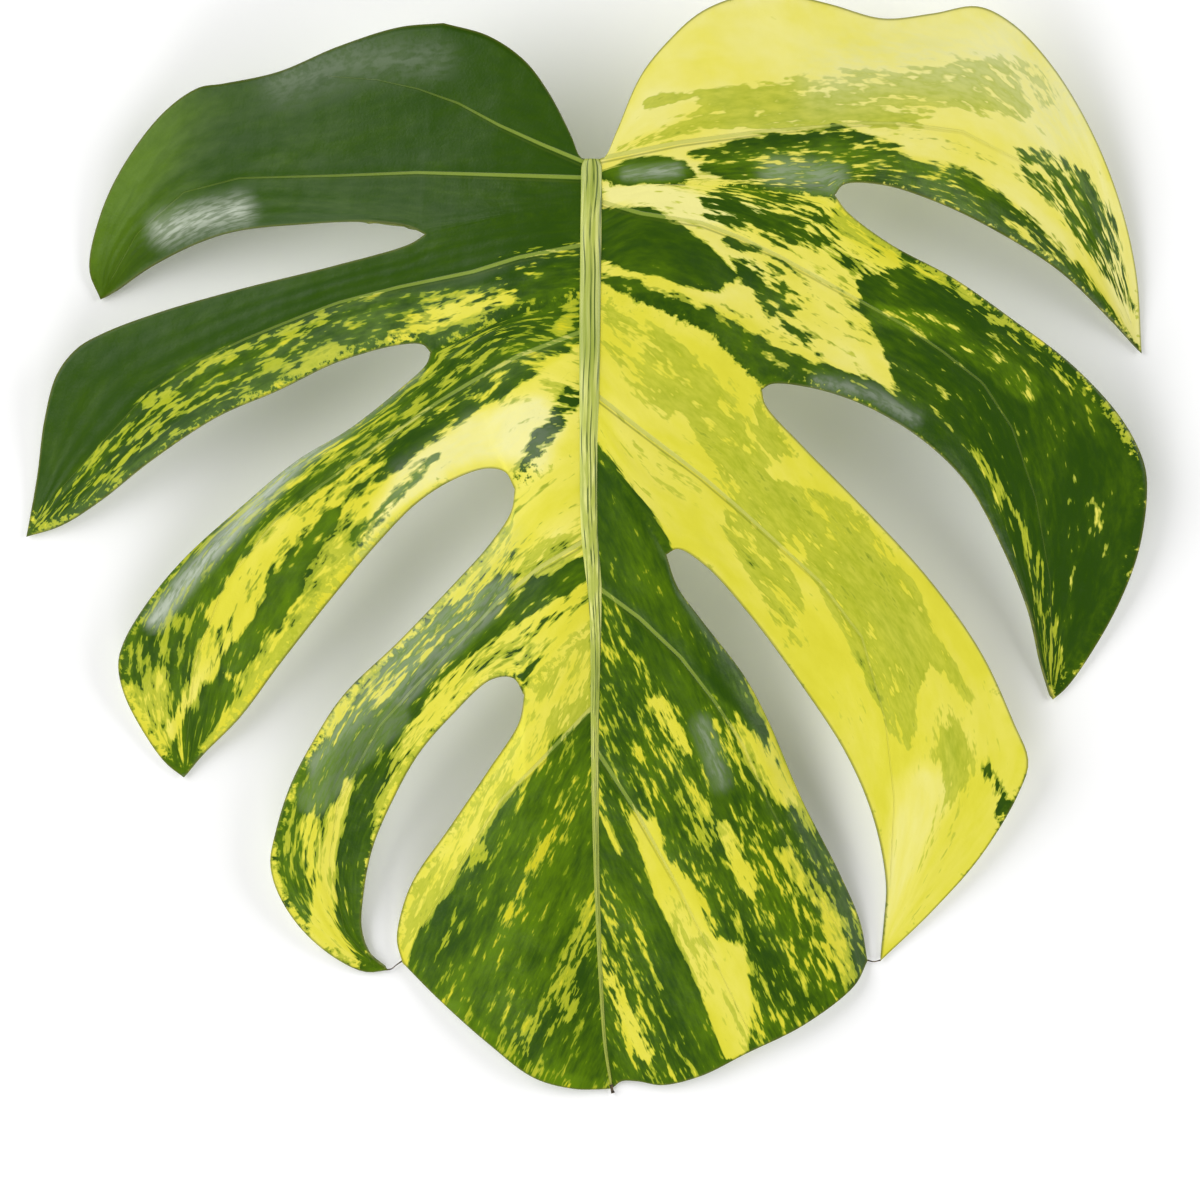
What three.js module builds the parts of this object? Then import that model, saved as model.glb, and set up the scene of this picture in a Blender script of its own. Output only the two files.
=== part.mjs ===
// Monstera leaf as picked: a slotted blade with its midrib, and the cut stub of its stalk.
// Millimetres. +Z is up. The blade lies with its upper side up, its apex points to -Y and the
// notch at the stalk to +Y. The lobe tips and the stub rest on z = 0.
import * as THREE from "three";

const bladeThickness = 0.9;
const midribRidge = 0.6; // how far the midrib stands above the blade
const keelDepthAtNotch = 5.2; // the midrib under the blade, thickest at the stalk
const keelDepthAtApex = 0.4;
const bulgeHeight = 2.6; // the blade swells between the side veins
const edgeDroop = 5.5; // the free edges of a lobe hang below its vein
const bottomMarginLift = 3.5; // the bottom margin clears the ground between its corners
const slotLevel = 0.4; // share of a vein's run that lies inside the inner ends of the slots
const stalkRadius = 4.8;
const kneeRadius = 5.4;

// Heights of the midrib over the ground, from the notch to the apex: [y, z].
const midribArch = [
  [103, 36.5],
  [75, 38.5],
  [40, 38],
  [0, 33],
  [-45, 24],
  [-90, 12.5],
  [-125, 4],
  [-146.5, 0],
];

// The midrib seen from above, from the notch to the apex: [x, y].
const midribLine = [
  [1.6, 103],
  [1.3, 75],
  [0.9, 35],
  [1.0, 5],
  [2.4, -14],
  [2.4, -50],
  [2.8, -85],
  [4.0, -117],
  [5.2, -135],
  [7.0, -146.5],
];

// Rows of the mesh cross the midrib at these places: [row, y].
const midribRows = [
  [0, 103],
  [4, 96.5],
  [6, 89.5],
  [12, 67.5],
  [20, 26.5],
  [28, -20],
  [38, -146.5],
];

// Shares of the way from the midrib to slot level, and from there to the tip.
const innerShares = [0, 0.08, 0.26, 0.44, 0.62, 0.81, 1];
const outerShares = [0.03, 0.07, 0.13, 0.2, 0.28, 0.37, 0.46, 0.55, 0.64, 0.73, 0.82, 0.9, 0.96, 1];

// Lines from the midrib to the inner end of each slot, shared by the two lobes beside it.
const webs = {
  left1: [[-22, 87.5], [-43, 83]],
  left2: [[-19, 61.5], [-41.5, 51.5]],
  left3: [[-9, 22], [-19, 15]],
  left4: [[-7, -29.5], [-16.5, -40]],
  right1: [[36, 96], [66.5, 93.5]],
  right2: [[28, 59], [47, 41.5]],
  right3: [[12.5, 12], [21.5, -2.5]],
};

// Each lobe: the rows it takes on the midrib, then its upper edge, its vein and its lower edge.
// "inner" runs from the midrib to slot level, "outer" from there to the tip.
const lobes = [
  {
    name: "left shoulder",
    rows: [0, 6],
    upper: {
      inner: [[-1.2, 103.3], [-4, 109.5], [-10, 121], [-16.5, 129.5], [-26, 136], [-38, 139.5]],
      outer: [
        [-50, 138.5], [-66.5, 133.5], [-82.5, 127], [-97.5, 124], [-104, 123], [-113.5, 116.5],
        [-124.5, 102.5], [-131, 89], [-134, 74.5], [-131, 66.5],
      ],
    },
    vein: {
      inner: [[-23, 98.5], [-43.5, 99.5]],
      outer: [[-66.5, 99], [-93.5, 98.5], [-112, 91], [-124.5, 80], [-131, 66.5]],
    },
    lower: {
      inner: webs.left1,
      outer: [
        [-47, 85], [-58.5, 86.5], [-77, 86], [-93.5, 84.5], [-104, 81.5], [-117.5, 75],
        [-126.5, 69], [-131, 66.5],
      ],
    },
  },
  {
    name: "left second lobe",
    rows: [6, 12],
    upper: {
      inner: webs.left1,
      outer: [
        [-47, 80.5], [-66.5, 75], [-93.5, 68.5], [-115, 62.5], [-130, 57], [-137, 53],
        [-142.5, 46], [-146, 33.5], [-148, 19], [-151, 2.5],
      ],
    },
    vein: {
      inner: [[-18, 76.5], [-42, 70.5]],
      outer: [[-66.5, 65], [-90.5, 55.5], [-117.5, 41], [-138, 20], [-151, 2.5]],
    },
    lower: {
      inner: webs.left2,
      outer: [
        [-43.5, 53.5], [-50, 53.5], [-66.5, 49], [-82.5, 41.5], [-99, 34.5], [-117.5, 22.5],
        [-131, 12], [-141.5, 5.5], [-151, 2.5],
      ],
    },
  },
  {
    name: "left third lobe",
    rows: [12, 20],
    upper: {
      inner: webs.left2,
      outer: [
        [-42.5, 48.5], [-50, 41.5], [-63.5, 31], [-77, 23], [-93.5, 9.5], [-108.5, -4],
        [-118.5, -16], [-124.5, -26], [-126, -32], [-124.5, -40], [-119.5, -50],
        [-113.5, -58.5], [-108.5, -62.5],
      ],
    },
    vein: {
      inner: [[-18, 50], [-31, 42.5]],
      outer: [[-50, 31], [-72, 15.5], [-91, -1.5], [-103, -22.5], [-108, -44], [-108.5, -62.5]],
    },
    lower: {
      inner: webs.left3,
      outer: [
        [-21.5, 19.5], [-26.5, 20.5], [-35.5, 17.5], [-45, 11.5], [-55.5, 1], [-69, -15],
        [-82.5, -32], [-93.5, -46.5], [-103.5, -56.5], [-108.5, -62.5],
      ],
    },
  },
  {
    name: "left fourth lobe",
    rows: [20, 28],
    upper: {
      inner: webs.left3,
      outer: [
        [-20, 9], [-26, 0], [-36, -11], [-50, -25.5], [-65, -40], [-73, -52], [-79.5, -64.5],
        [-83.5, -77], [-85, -85.5], [-83, -93.5], [-77, -103], [-68, -111], [-59.5, -115],
        [-53.5, -114.5],
      ],
    },
    vein: {
      inner: [[-8, -2.5], [-18.5, -11.5]],
      outer: [
        [-31, -24], [-44, -37.5], [-56, -51], [-66, -68.5], [-71, -85], [-69, -98],
        [-62, -109.5], [-53.5, -114.5],
      ],
    },
    lower: {
      inner: webs.left4,
      outer: [
        [-19.5, -35.5], [-25.5, -36], [-36, -45.5], [-45, -56], [-52, -68.5], [-57.5, -81.5],
        [-60, -94], [-60.5, -103.5], [-58, -110.5], [-53.5, -114.5],
      ],
    },
  },
  {
    name: "left bottom lobe",
    rows: [28, 38],
    upper: {
      inner: webs.left4,
      outer: [
        [-18, -47.5], [-26, -60], [-36.5, -75.5], [-46.5, -90], [-50, -99.5], [-51, -106.5],
        [-49.5, -112.5],
      ],
    },
    vein: { inner: [[-5, -90.5], [-12, -102]], outer: [[-19, -118], [-26, -134.5]] },
    margin: [[-49.5, -112.5], [-39.5, -122.5], [-26, -134.5], [-14, -143.5], [-3, -146.5]],
    marginSkew: 1,
  },
  {
    name: "right shoulder",
    rows: [0, 4],
    upper: {
      inner: [[4.8, 103.3], [8, 110], [14.5, 125], [21, 133.5], [31, 142.5], [43, 147], [53.5, 147.5]],
      outer: [
        [66, 144.5], [79.5, 141], [93, 142.5], [105, 144.5], [114.5, 140], [125.5, 128.5],
        [136, 111.5], [144, 92], [148.5, 73], [150, 52],
      ],
    },
    vein: {
      inner: [[25, 107.5], [47, 110.5], [58, 111.5]],
      outer: [[85, 113], [101, 111], [117, 103], [128, 93.5], [138.5, 78.5], [150, 52]],
    },
    lower: {
      inner: webs.right1,
      outer: [
        [69, 96.5], [79.5, 96.5], [95.5, 91.5], [112, 83.5], [128, 73.5], [141.5, 61], [150, 52],
      ],
    },
  },
  {
    name: "right second lobe",
    rows: [4, 12],
    upper: {
      inner: webs.right1,
      outer: [
        [70, 89], [81.5, 80.5], [98.5, 71.5], [114.5, 60.5], [130.5, 48.5], [144, 34],
        [150, 22.5], [151, 15], [149, -1], [143.5, -16], [135, -31], [129.5, -38.5],
        [126, -41.5],
      ],
    },
    vein: {
      inner: [[14.5, 88.5], [31, 86], [55, 76]],
      outer: [[74, 65], [95.5, 52], [106.5, 43.5], [114.5, 31.5], [121.5, 12.5], [125, -14.5], [126, -41.5]],
    },
    lower: {
      inner: webs.right2,
      outer: [
        [49.5, 43], [60.5, 42], [74.5, 37.5], [90, 28.5], [102.5, 16.5], [112.5, -1],
        [119.5, -17.5], [123, -32], [126, -41.5],
      ],
    },
  },
  {
    name: "right third lobe",
    rows: [12, 20],
    upper: {
      inner: webs.right2,
      outer: [
        [48, 37.5], [58, 26.5], [74, 10.5], [92, -9], [106, -28.5], [115, -47.5], [119, -58],
        [116.5, -66.5], [106.5, -83.5], [93, -99], [79.5, -112],
      ],
    },
    vein: {
      inner: [[14.5, 31], [34, 18]],
      outer: [[52, 0], [67, -14], [81, -32], [90, -51], [92.5, -70], [88, -92], [79.5, -112]],
    },
    lower: {
      inner: webs.right3,
      outer: [
        [24.5, -1], [32, -5.5], [43, -17.5], [56.5, -35.5], [70, -56], [77.5, -73.5],
        [81, -91], [80.5, -101.5], [79.5, -112],
      ],
    },
  },
  {
    name: "right bottom lobe",
    rows: [20, 38],
    upper: {
      inner: webs.right3,
      outer: [
        [24.5, -11], [31, -20], [42.5, -35], [49, -47], [58, -68], [68.5, -88.5],
        [74, -101.5], [76, -112],
      ],
    },
    vein: {
      inner: [[10, -39], [19.5, -49.5]],
      outer: [[31, -66], [41.5, -87.5], [51, -109], [59, -129]],
    },
    margin: [
      [76, -112], [72.5, -118.5], [59, -129], [43, -137], [31, -143], [20.5, -145.5],
      [14, -144.5], [9.5, -144.5],
    ],
    marginSkew: 1.7,
  },
];

// The stalk's centre line: the knee under the end of the midrib, then the stub lying down.
const stalkLine = [
  [1.6, 97, 30.4],
  [1.7, 96.6, 26],
  [1.8, 92.5, 19.6],
  [2.0, 84, 16],
  [2.5, 62, 11.6],
  [3.2, 34, 7],
  [4.0, 10, stalkRadius + 0.3],
  [4.6, -14, stalkRadius],
];

const smooth = (low, high, value) => THREE.MathUtils.smoothstep(value, low, high);
const plane = (points) => new THREE.CatmullRomCurve3(
  points.map(([x, y]) => new THREE.Vector3(x, y, 0)),
  false,
  "centripetal",
);

// A smooth value between listed pairs, such as the midrib's height at one y.
function between(pairs, key) {
  const rising = pairs[0][0] < pairs[pairs.length - 1][0];
  const list = rising ? pairs : [...pairs].reverse();
  const last = list.length - 1;
  const place = THREE.MathUtils.clamp(key, list[0][0], list[last][0]);
  let i = 0;
  while (i < last - 1 && place > list[i + 1][0]) i += 1;
  const [x0, y0] = list[i];
  const [x1, y1] = list[i + 1];
  const slopeAt = (k) => {
    const a = list[Math.max(k - 1, 0)];
    const b = list[Math.min(k + 1, last)];
    return (b[1] - a[1]) / (b[0] - a[0]);
  };
  const width = x1 - x0;
  const u = (place - x0) / width;
  return (
    y0 * (1 + 2 * u) * (1 - u) ** 2 +
    y1 * u * u * (3 - 2 * u) +
    slopeAt(i) * width * u * (1 - u) ** 2 -
    slopeAt(i + 1) * width * u * u * (1 - u)
  );
}

const midribX = (y) => between(midribLine.map(([x, at]) => [at, x]), y);

// The point of the midrib where one row of the mesh crosses it.
function midribPoint(row) {
  let i = 0;
  while (i < midribRows.length - 2 && row > midribRows[i + 1][0]) i += 1;
  const [row0, y0] = midribRows[i];
  const [row1, y1] = midribRows[i + 1];
  const y = THREE.MathUtils.lerp(y0, y1, (row - row0) / (row1 - row0));
  return new THREE.Vector3(midribX(y), y, 0);
}

// Points along one edge or vein of a lobe, from the midrib to the tip.
function runOf(start, line) {
  const inner = plane([[start.x, start.y], ...line.inner]);
  const slotPoint = line.inner[line.inner.length - 1];
  const outer = plane([slotPoint, ...line.outer]);
  return [
    ...innerShares.map((share) => inner.getPointAt(share)),
    ...outerShares.map((share) => outer.getPointAt(share)),
  ];
}

// How far along its run each point is: 0 at the midrib, slotLevel at the slots, 1 at the tip.
const runShares = [
  ...innerShares.map((share) => share * slotLevel),
  ...outerShares.map((share) => slotLevel + share * (1 - slotLevel)),
];

// Height of the blade's upper side at one place of a lobe.
function heightAt(lobe, along, across, rowY) {
  const arch = between(midribArch, rowY);
  const fall = Math.min(1.03 * along ** 1.9, 1.03);
  const swell = smooth(0, 0.25, along) * (1 - smooth(0.75, 1, along));
  const droop = smooth(slotLevel, 0.7, along) * (1 - smooth(0.85, 1, along));
  const bottomInside = lobe.margin && across > 0;
  const bulge = bottomInside ? 0 : bulgeHeight * swell * Math.sin((across * Math.PI) / 2) ** 2;
  const sag = bottomInside ? 0 : edgeDroop * droop * across * across;
  const lift = lobe.margin ? bottomMarginLift * along ** 2 * (1 - across ** 2) : 0;
  return Math.max(arch * (1 - fall) + bulge - sag + lift, 0) + bladeThickness;
}

// One lobe as a grid: rows go across from the upper to the lower edge, points run to the tip.
// A quadratic in "across" passes through the upper edge, the vein and the lower edge; what is left
// over at the midrib and at the bottom margin is faded in along the run.
function lobeGrid(lobe) {
  const [firstRow, lastRow] = lobe.rows;
  const count = lastRow - firstRow;
  const apex = midribPoint(lastRow);
  const upper = runOf(midribPoint(firstRow), lobe.upper);
  const vein = runOf(midribPoint((firstRow + lastRow) / 2), lobe.vein);
  const lower = lobe.margin ? upper.map(() => apex) : runOf(apex, lobe.lower);
  const margin = lobe.margin ? plane([...lobe.margin, [apex.x, apex.y]]) : null;
  const last = upper.length - 1;
  const mix = (i, t) =>
    new THREE.Vector3()
      .addScaledVector(upper[i], (t * (t - 1)) / 2)
      .addScaledVector(vein[i], 1 - t * t)
      .addScaledVector(lower[i], (t * (t + 1)) / 2);
  const grid = [];
  for (let row = firstRow; row <= lastRow; row += 1) {
    const across = (2 * (row - firstRow)) / count - 1;
    const onMidrib = midribPoint(row);
    const end = margin
      ? margin.getPointAt(((across + 1) / 2) ** lobe.marginSkew)
      : upper[last];
    const atStart = onMidrib.clone().sub(mix(0, across));
    const atEnd = end.clone().sub(mix(last, across));
    grid.push(
      runShares.map((along, i) => {
        const point = mix(i, across);
        point.addScaledVector(atStart, 1 - along).addScaledVector(atEnd, along);
        point.z = heightAt(lobe, along, across, onMidrib.y);
        const keel = i === 0 ? smooth(-147, 103, onMidrib.y) : 0;
        const depth = i === 0 ? THREE.MathUtils.lerp(keelDepthAtApex, keelDepthAtNotch, keel) : 0;
        const ridge = i === 0 ? midribRidge * smooth(-147, -100, onMidrib.y) : 0;
        const under = Math.max(point.z - bladeThickness - depth, 0);
        return { top: point.setZ(point.z + ridge), under };
      }),
    );
  }
  return grid;
}

// The whole blade: every lobe's grid, joined where lobes share a line, then given an underside and
// a wall round the margin so that it is one closed solid.
function bladeGeometry() {
  const places = [];
  const undersides = [];
  const known = new Map();
  const triangles = [];
  const indexOf = ({ top, under }) => {
    const key = `${Math.round(top.x * 100)},${Math.round(top.y * 100)}`;
    if (!known.has(key)) {
      known.set(key, places.length);
      places.push(top);
      undersides.push(under);
    }
    return known.get(key);
  };
  const addTriangle = (a, b, c) => {
    if (a !== b && b !== c && c !== a) triangles.push([a, b, c]);
  };
  for (const lobe of lobes) {
    const grid = lobeGrid(lobe).map((row) => row.map(indexOf));
    const turned = lobe.name.startsWith("left");
    for (let row = 0; row < grid.length - 1; row += 1) {
      for (let i = 0; i < grid[row].length - 1; i += 1) {
        const a = grid[row][i];
        const b = grid[row][i + 1];
        const c = grid[row + 1][i + 1];
        const d = grid[row + 1][i];
        if (turned) {
          addTriangle(a, b, c);
          addTriangle(a, c, d);
        } else {
          addTriangle(a, c, b);
          addTriangle(a, d, c);
        }
      }
    }
  }
  const total = places.length;
  const edges = new Set(triangles.flatMap(([a, b, c]) => [`${a},${b}`, `${b},${c}`, `${c},${a}`]));
  const faces = [...triangles, ...triangles.map(([a, b, c]) => [c + total, b + total, a + total])];
  for (const edge of edges) {
    const [a, b] = edge.split(",").map(Number);
    if (edges.has(`${b},${a}`)) continue;
    faces.push([b, a, a + total], [b, a + total, b + total]);
  }
  const positions = [
    ...places.flatMap((p) => [p.x, p.y, p.z]),
    ...places.flatMap((p, i) => [p.x, p.y, undersides[i]]),
  ];
  const geometry = new THREE.BufferGeometry();
  geometry.setAttribute("position", new THREE.Float32BufferAttribute(positions, 3));
  geometry.setIndex(faces.flat());
  geometry.computeVertexNormals();
  return geometry;
}

// A round rod along a curve, closed at both ends.
function rodGeometry(points, steps, sides, radiusAt) {
  const curve = new THREE.CatmullRomCurve3(points.map((p) => new THREE.Vector3(...p)), false, "centripetal");
  const positions = [];
  const faces = [];
  const sideways = new THREE.Vector3(1, 0, 0);
  for (let i = 0; i <= steps; i += 1) {
    const share = i / steps;
    const centre = curve.getPointAt(share);
    const along = curve.getTangentAt(share);
    const up = new THREE.Vector3().crossVectors(sideways, along).normalize();
    const across = new THREE.Vector3().crossVectors(along, up).normalize();
    for (let k = 0; k < sides; k += 1) {
      const turn = (2 * Math.PI * k) / sides;
      const spot = centre
        .clone()
        .addScaledVector(across, Math.cos(turn) * radiusAt(share))
        .addScaledVector(up, Math.sin(turn) * radiusAt(share));
      positions.push(spot.x, spot.y, spot.z);
    }
  }
  const ends = [curve.getPointAt(0), curve.getPointAt(1)];
  for (const end of ends) positions.push(end.x, end.y, end.z);
  const firstEnd = (steps + 1) * sides;
  for (let k = 0; k < sides; k += 1) {
    const next = (k + 1) % sides;
    for (let i = 0; i < steps; i += 1) {
      const a = i * sides + k;
      const b = i * sides + next;
      faces.push([b, a, a + sides], [b, a + sides, b + sides]);
    }
    faces.push([firstEnd, k, next]);
    faces.push([firstEnd + 1, steps * sides + next, steps * sides + k]);
  }
  const geometry = new THREE.BufferGeometry();
  geometry.setAttribute("position", new THREE.Float32BufferAttribute(positions, 3));
  geometry.setIndex(faces.flat());
  geometry.computeVertexNormals();
  return geometry;
}

const bladeMaterial = new THREE.MeshStandardMaterial({
  color: 0x9aae45,
  roughness: 0.38,
  metalness: 0,
});
const stalkMaterial = new THREE.MeshStandardMaterial({
  color: 0x9fb262,
  roughness: 0.45,
  metalness: 0,
});

const blade = new THREE.Mesh(bladeGeometry(), bladeMaterial);
blade.name = "leaf_blade";

const stalkSteps = 26;
const stalkSides = 14;
const stalkRadiusAt = (share) => THREE.MathUtils.lerp(kneeRadius, stalkRadius, smooth(0.1, 0.3, share));
const stalk = new THREE.Mesh(rodGeometry(stalkLine, stalkSteps, stalkSides, stalkRadiusAt), stalkMaterial);
stalk.name = "petiole";

const leaf = new THREE.Group();
leaf.name = "monstera_leaf";
leaf.add(blade, stalk);

// The middle of the leaf's outline goes over the origin, and its lowest point on z = 0.
const extent = new THREE.Box3().setFromObject(leaf);
const middle = extent.getCenter(new THREE.Vector3());
leaf.position.set(-middle.x, -middle.y, -extent.min.z);

export default leaf;
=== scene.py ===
import math
import bpy
import numpy as np
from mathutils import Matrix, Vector


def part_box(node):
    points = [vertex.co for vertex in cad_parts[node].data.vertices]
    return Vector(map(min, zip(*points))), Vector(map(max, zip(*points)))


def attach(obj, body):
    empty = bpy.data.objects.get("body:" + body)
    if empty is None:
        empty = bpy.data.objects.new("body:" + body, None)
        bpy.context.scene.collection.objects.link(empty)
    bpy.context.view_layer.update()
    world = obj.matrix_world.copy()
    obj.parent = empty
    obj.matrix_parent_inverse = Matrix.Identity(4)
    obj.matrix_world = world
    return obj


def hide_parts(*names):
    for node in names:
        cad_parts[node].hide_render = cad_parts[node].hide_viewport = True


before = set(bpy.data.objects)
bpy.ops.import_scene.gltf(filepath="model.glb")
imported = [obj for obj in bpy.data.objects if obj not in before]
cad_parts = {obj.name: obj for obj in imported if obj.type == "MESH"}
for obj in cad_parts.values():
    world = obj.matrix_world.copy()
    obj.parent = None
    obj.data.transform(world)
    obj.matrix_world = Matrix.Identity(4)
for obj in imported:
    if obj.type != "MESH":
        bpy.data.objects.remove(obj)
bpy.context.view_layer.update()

scene = bpy.context.scene
scene.view_settings.view_transform = "Standard"
mm = 0.001

# The camera looks straight down, and the top of its frame is the notch side of the leaf.
view = {"centre": (0.0038, -0.0150), "height": 3.0, "width": 0.324}
camera = bpy.data.objects.new("camera", bpy.data.cameras.new("camera"))
camera.data.sensor_width = 36
camera.data.lens = 36 * view["height"] / view["width"]
camera.data.clip_end = 20
camera.location = (view["centre"][0], view["centre"][1], view["height"])
scene.collection.objects.link(camera)
scene.camera = camera
print("camera ready")


# 0 below low, 1 above high, and 3u^2 - 2u^3 between them.
def smoothStep(low, high, value):
    u = np.clip((value - low) / (high - low), 0, 1)
    return u * u * (3 - 2 * u)


# Centripetal Catmull-Rom through the points, as places at shares of its whole length.
def alongCurve(points, shares, fine=40):
    p = np.array(points, float)
    p = np.vstack([2 * p[0] - p[1], p, 2 * p[-1] - p[-2]])
    knots = np.concatenate([[0], np.cumsum(np.linalg.norm(np.diff(p, axis=0), axis=1) ** 0.5)])
    u = np.arange(fine) / fine
    parts = []
    for k in range(1, len(p) - 2):
        t0, t1, t2, t3 = knots[k - 1:k + 3]
        t = (t1 + (t2 - t1) * u)[:, None]
        a1 = (t1 - t) / (t1 - t0) * p[k - 1] + (t - t0) / (t1 - t0) * p[k]
        a2 = (t2 - t) / (t2 - t1) * p[k] + (t - t1) / (t2 - t1) * p[k + 1]
        a3 = (t3 - t) / (t3 - t2) * p[k + 1] + (t - t2) / (t3 - t2) * p[k + 2]
        b1 = (t2 - t) / (t2 - t0) * a1 + (t - t0) / (t2 - t0) * a2
        b2 = (t3 - t) / (t3 - t1) * a2 + (t - t1) / (t3 - t1) * a3
        parts.append((t2 - t) / (t2 - t1) * b1 + (t - t1) / (t2 - t1) * b2)
    dense = np.vstack(parts + [p[-2:-1]])
    run = np.concatenate([[0], np.cumsum(np.linalg.norm(np.diff(dense, axis=0), axis=1))])
    wanted = np.asarray(shares) * run[-1]
    return np.stack([np.interp(wanted, run, dense[:, k]) for k in range(p.shape[1])], -1)


# Cubic Hermite through listed (key, value) pairs, with each slope taken from its two neighbours.
def between(pairs, key):
    x, y = np.array(sorted(pairs), float).T
    slope = np.empty_like(y)
    slope[1:-1] = (y[2:] - y[:-2]) / (x[2:] - x[:-2])
    slope[0] = (y[1] - y[0]) / (x[1] - x[0])
    slope[-1] = (y[-1] - y[-2]) / (x[-1] - x[-2])
    key = np.clip(key, x[0], x[-1])
    i = np.clip(np.searchsorted(x, key, "right") - 1, 0, len(x) - 2)
    width = x[i + 1] - x[i]
    u = (key - x[i]) / width
    return (y[i] * (1 + 2 * u) * (1 - u) ** 2 + y[i + 1] * u * u * (3 - 2 * u)
            + slope[i] * width * u * (1 - u) ** 2 - slope[i + 1] * width * u * u * (1 - u))


# Distance from each place to the nearest point of a line, how far along the line that point is,
# and on which side of the line the place lies.
def awayFrom(places, line):
    line = np.array(line, float)
    lengths = np.linalg.norm(np.diff(line, axis=0), axis=1)
    starts = np.concatenate([[0], np.cumsum(lengths)])
    best = np.full(len(places), 1e9)
    share = np.zeros(len(places))
    side = np.ones(len(places))
    for a, b, length, start in zip(line[:-1], line[1:], lengths, starts):
        step = (b - a) / length
        rel = places - a
        t = np.clip(rel @ step, 0, length)
        gap = np.linalg.norm(rel - t[:, None] * step, axis=1)
        nearer = gap < best
        best = np.where(nearer, gap, best)
        share = np.where(nearer, (start + t) / starts[-1], share)
        side = np.where(nearer, np.sign(rel[:, 1] * step[0] - rel[:, 0] * step[1]), side)
    return best, share, side


# Sizes are in millimetres, seen from above with the apex towards -Y.
blade = {
    "thickness": 0.55,
    "clearance": 0.9,  # the upper side's height above the ground where the blade rests
    "fall": (1.03, 1.9),  # share of the arch lost at a lobe's tip, and the power it grows with
    "bulge": 2.6,  # the blade swells between its side veins
    "edgeDroop": 5.5,  # the free edges of a lobe hang below its vein
    "bottomLift": 3.5,  # the bottom margin clears the ground between its corners
    "slotLevel": 0.4,  # share of a vein's run inside the inner ends of the slots
    "innerSteps": 42,
    "outerSteps": 108,
    "tipCrowding": 1.25,  # above 1, the outer steps are closer together near the slots
    "smoothing": 140,  # rounds of easing that take the creases out of the heights
    "bottomGrain": (0.42, 0.91),  # lean of the bottom lobes' streaks, outwards and downwards
    "grainGap": 40,  # keeps the noise of two lobes apart
    "groove": (1.5, 0.35),  # half width and depth of the dent over a side vein
    "rib": (1.1, 1.3, 0.1),  # half width of a side vein's rib below, its height at both ends
    "marginFade": 3,  # grooves and ribs fade out this close to the margin
    "lowest": 0.05,  # of the underside
    "inland": 9,  # gaps to the margin above this all count as this
    "arch": [(103, 36.5), (75, 38.5), (40, 38), (0, 33), (-45, 24), (-90, 12.5), (-125, 4), (-146.5, 0)],
    "midrib": [(1.6, 103), (1.3, 75), (0.9, 35), (1.0, 5), (2.4, -14), (2.4, -50), (2.8, -85),
               (4.0, -117), (5.2, -135), (7.0, -146.5)],
}

# Lines from the midrib to the inner end of each slot, shared by the two lobes beside it.
webs = {
    "left1": [(-22, 87.5), (-43, 83)],
    "left2": [(-19, 61.5), (-41.5, 51.5)],
    "left3": [(-9, 22), (-19, 15)],
    "left4": [(-7, -29.5), (-16.5, -40)],
    "right1": [(36, 96), (66.5, 93.5)],
    "right2": [(28, 59), (47, 41.5)],
    "right3": [(12.5, 12), (21.5, -2.5)],
}

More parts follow.
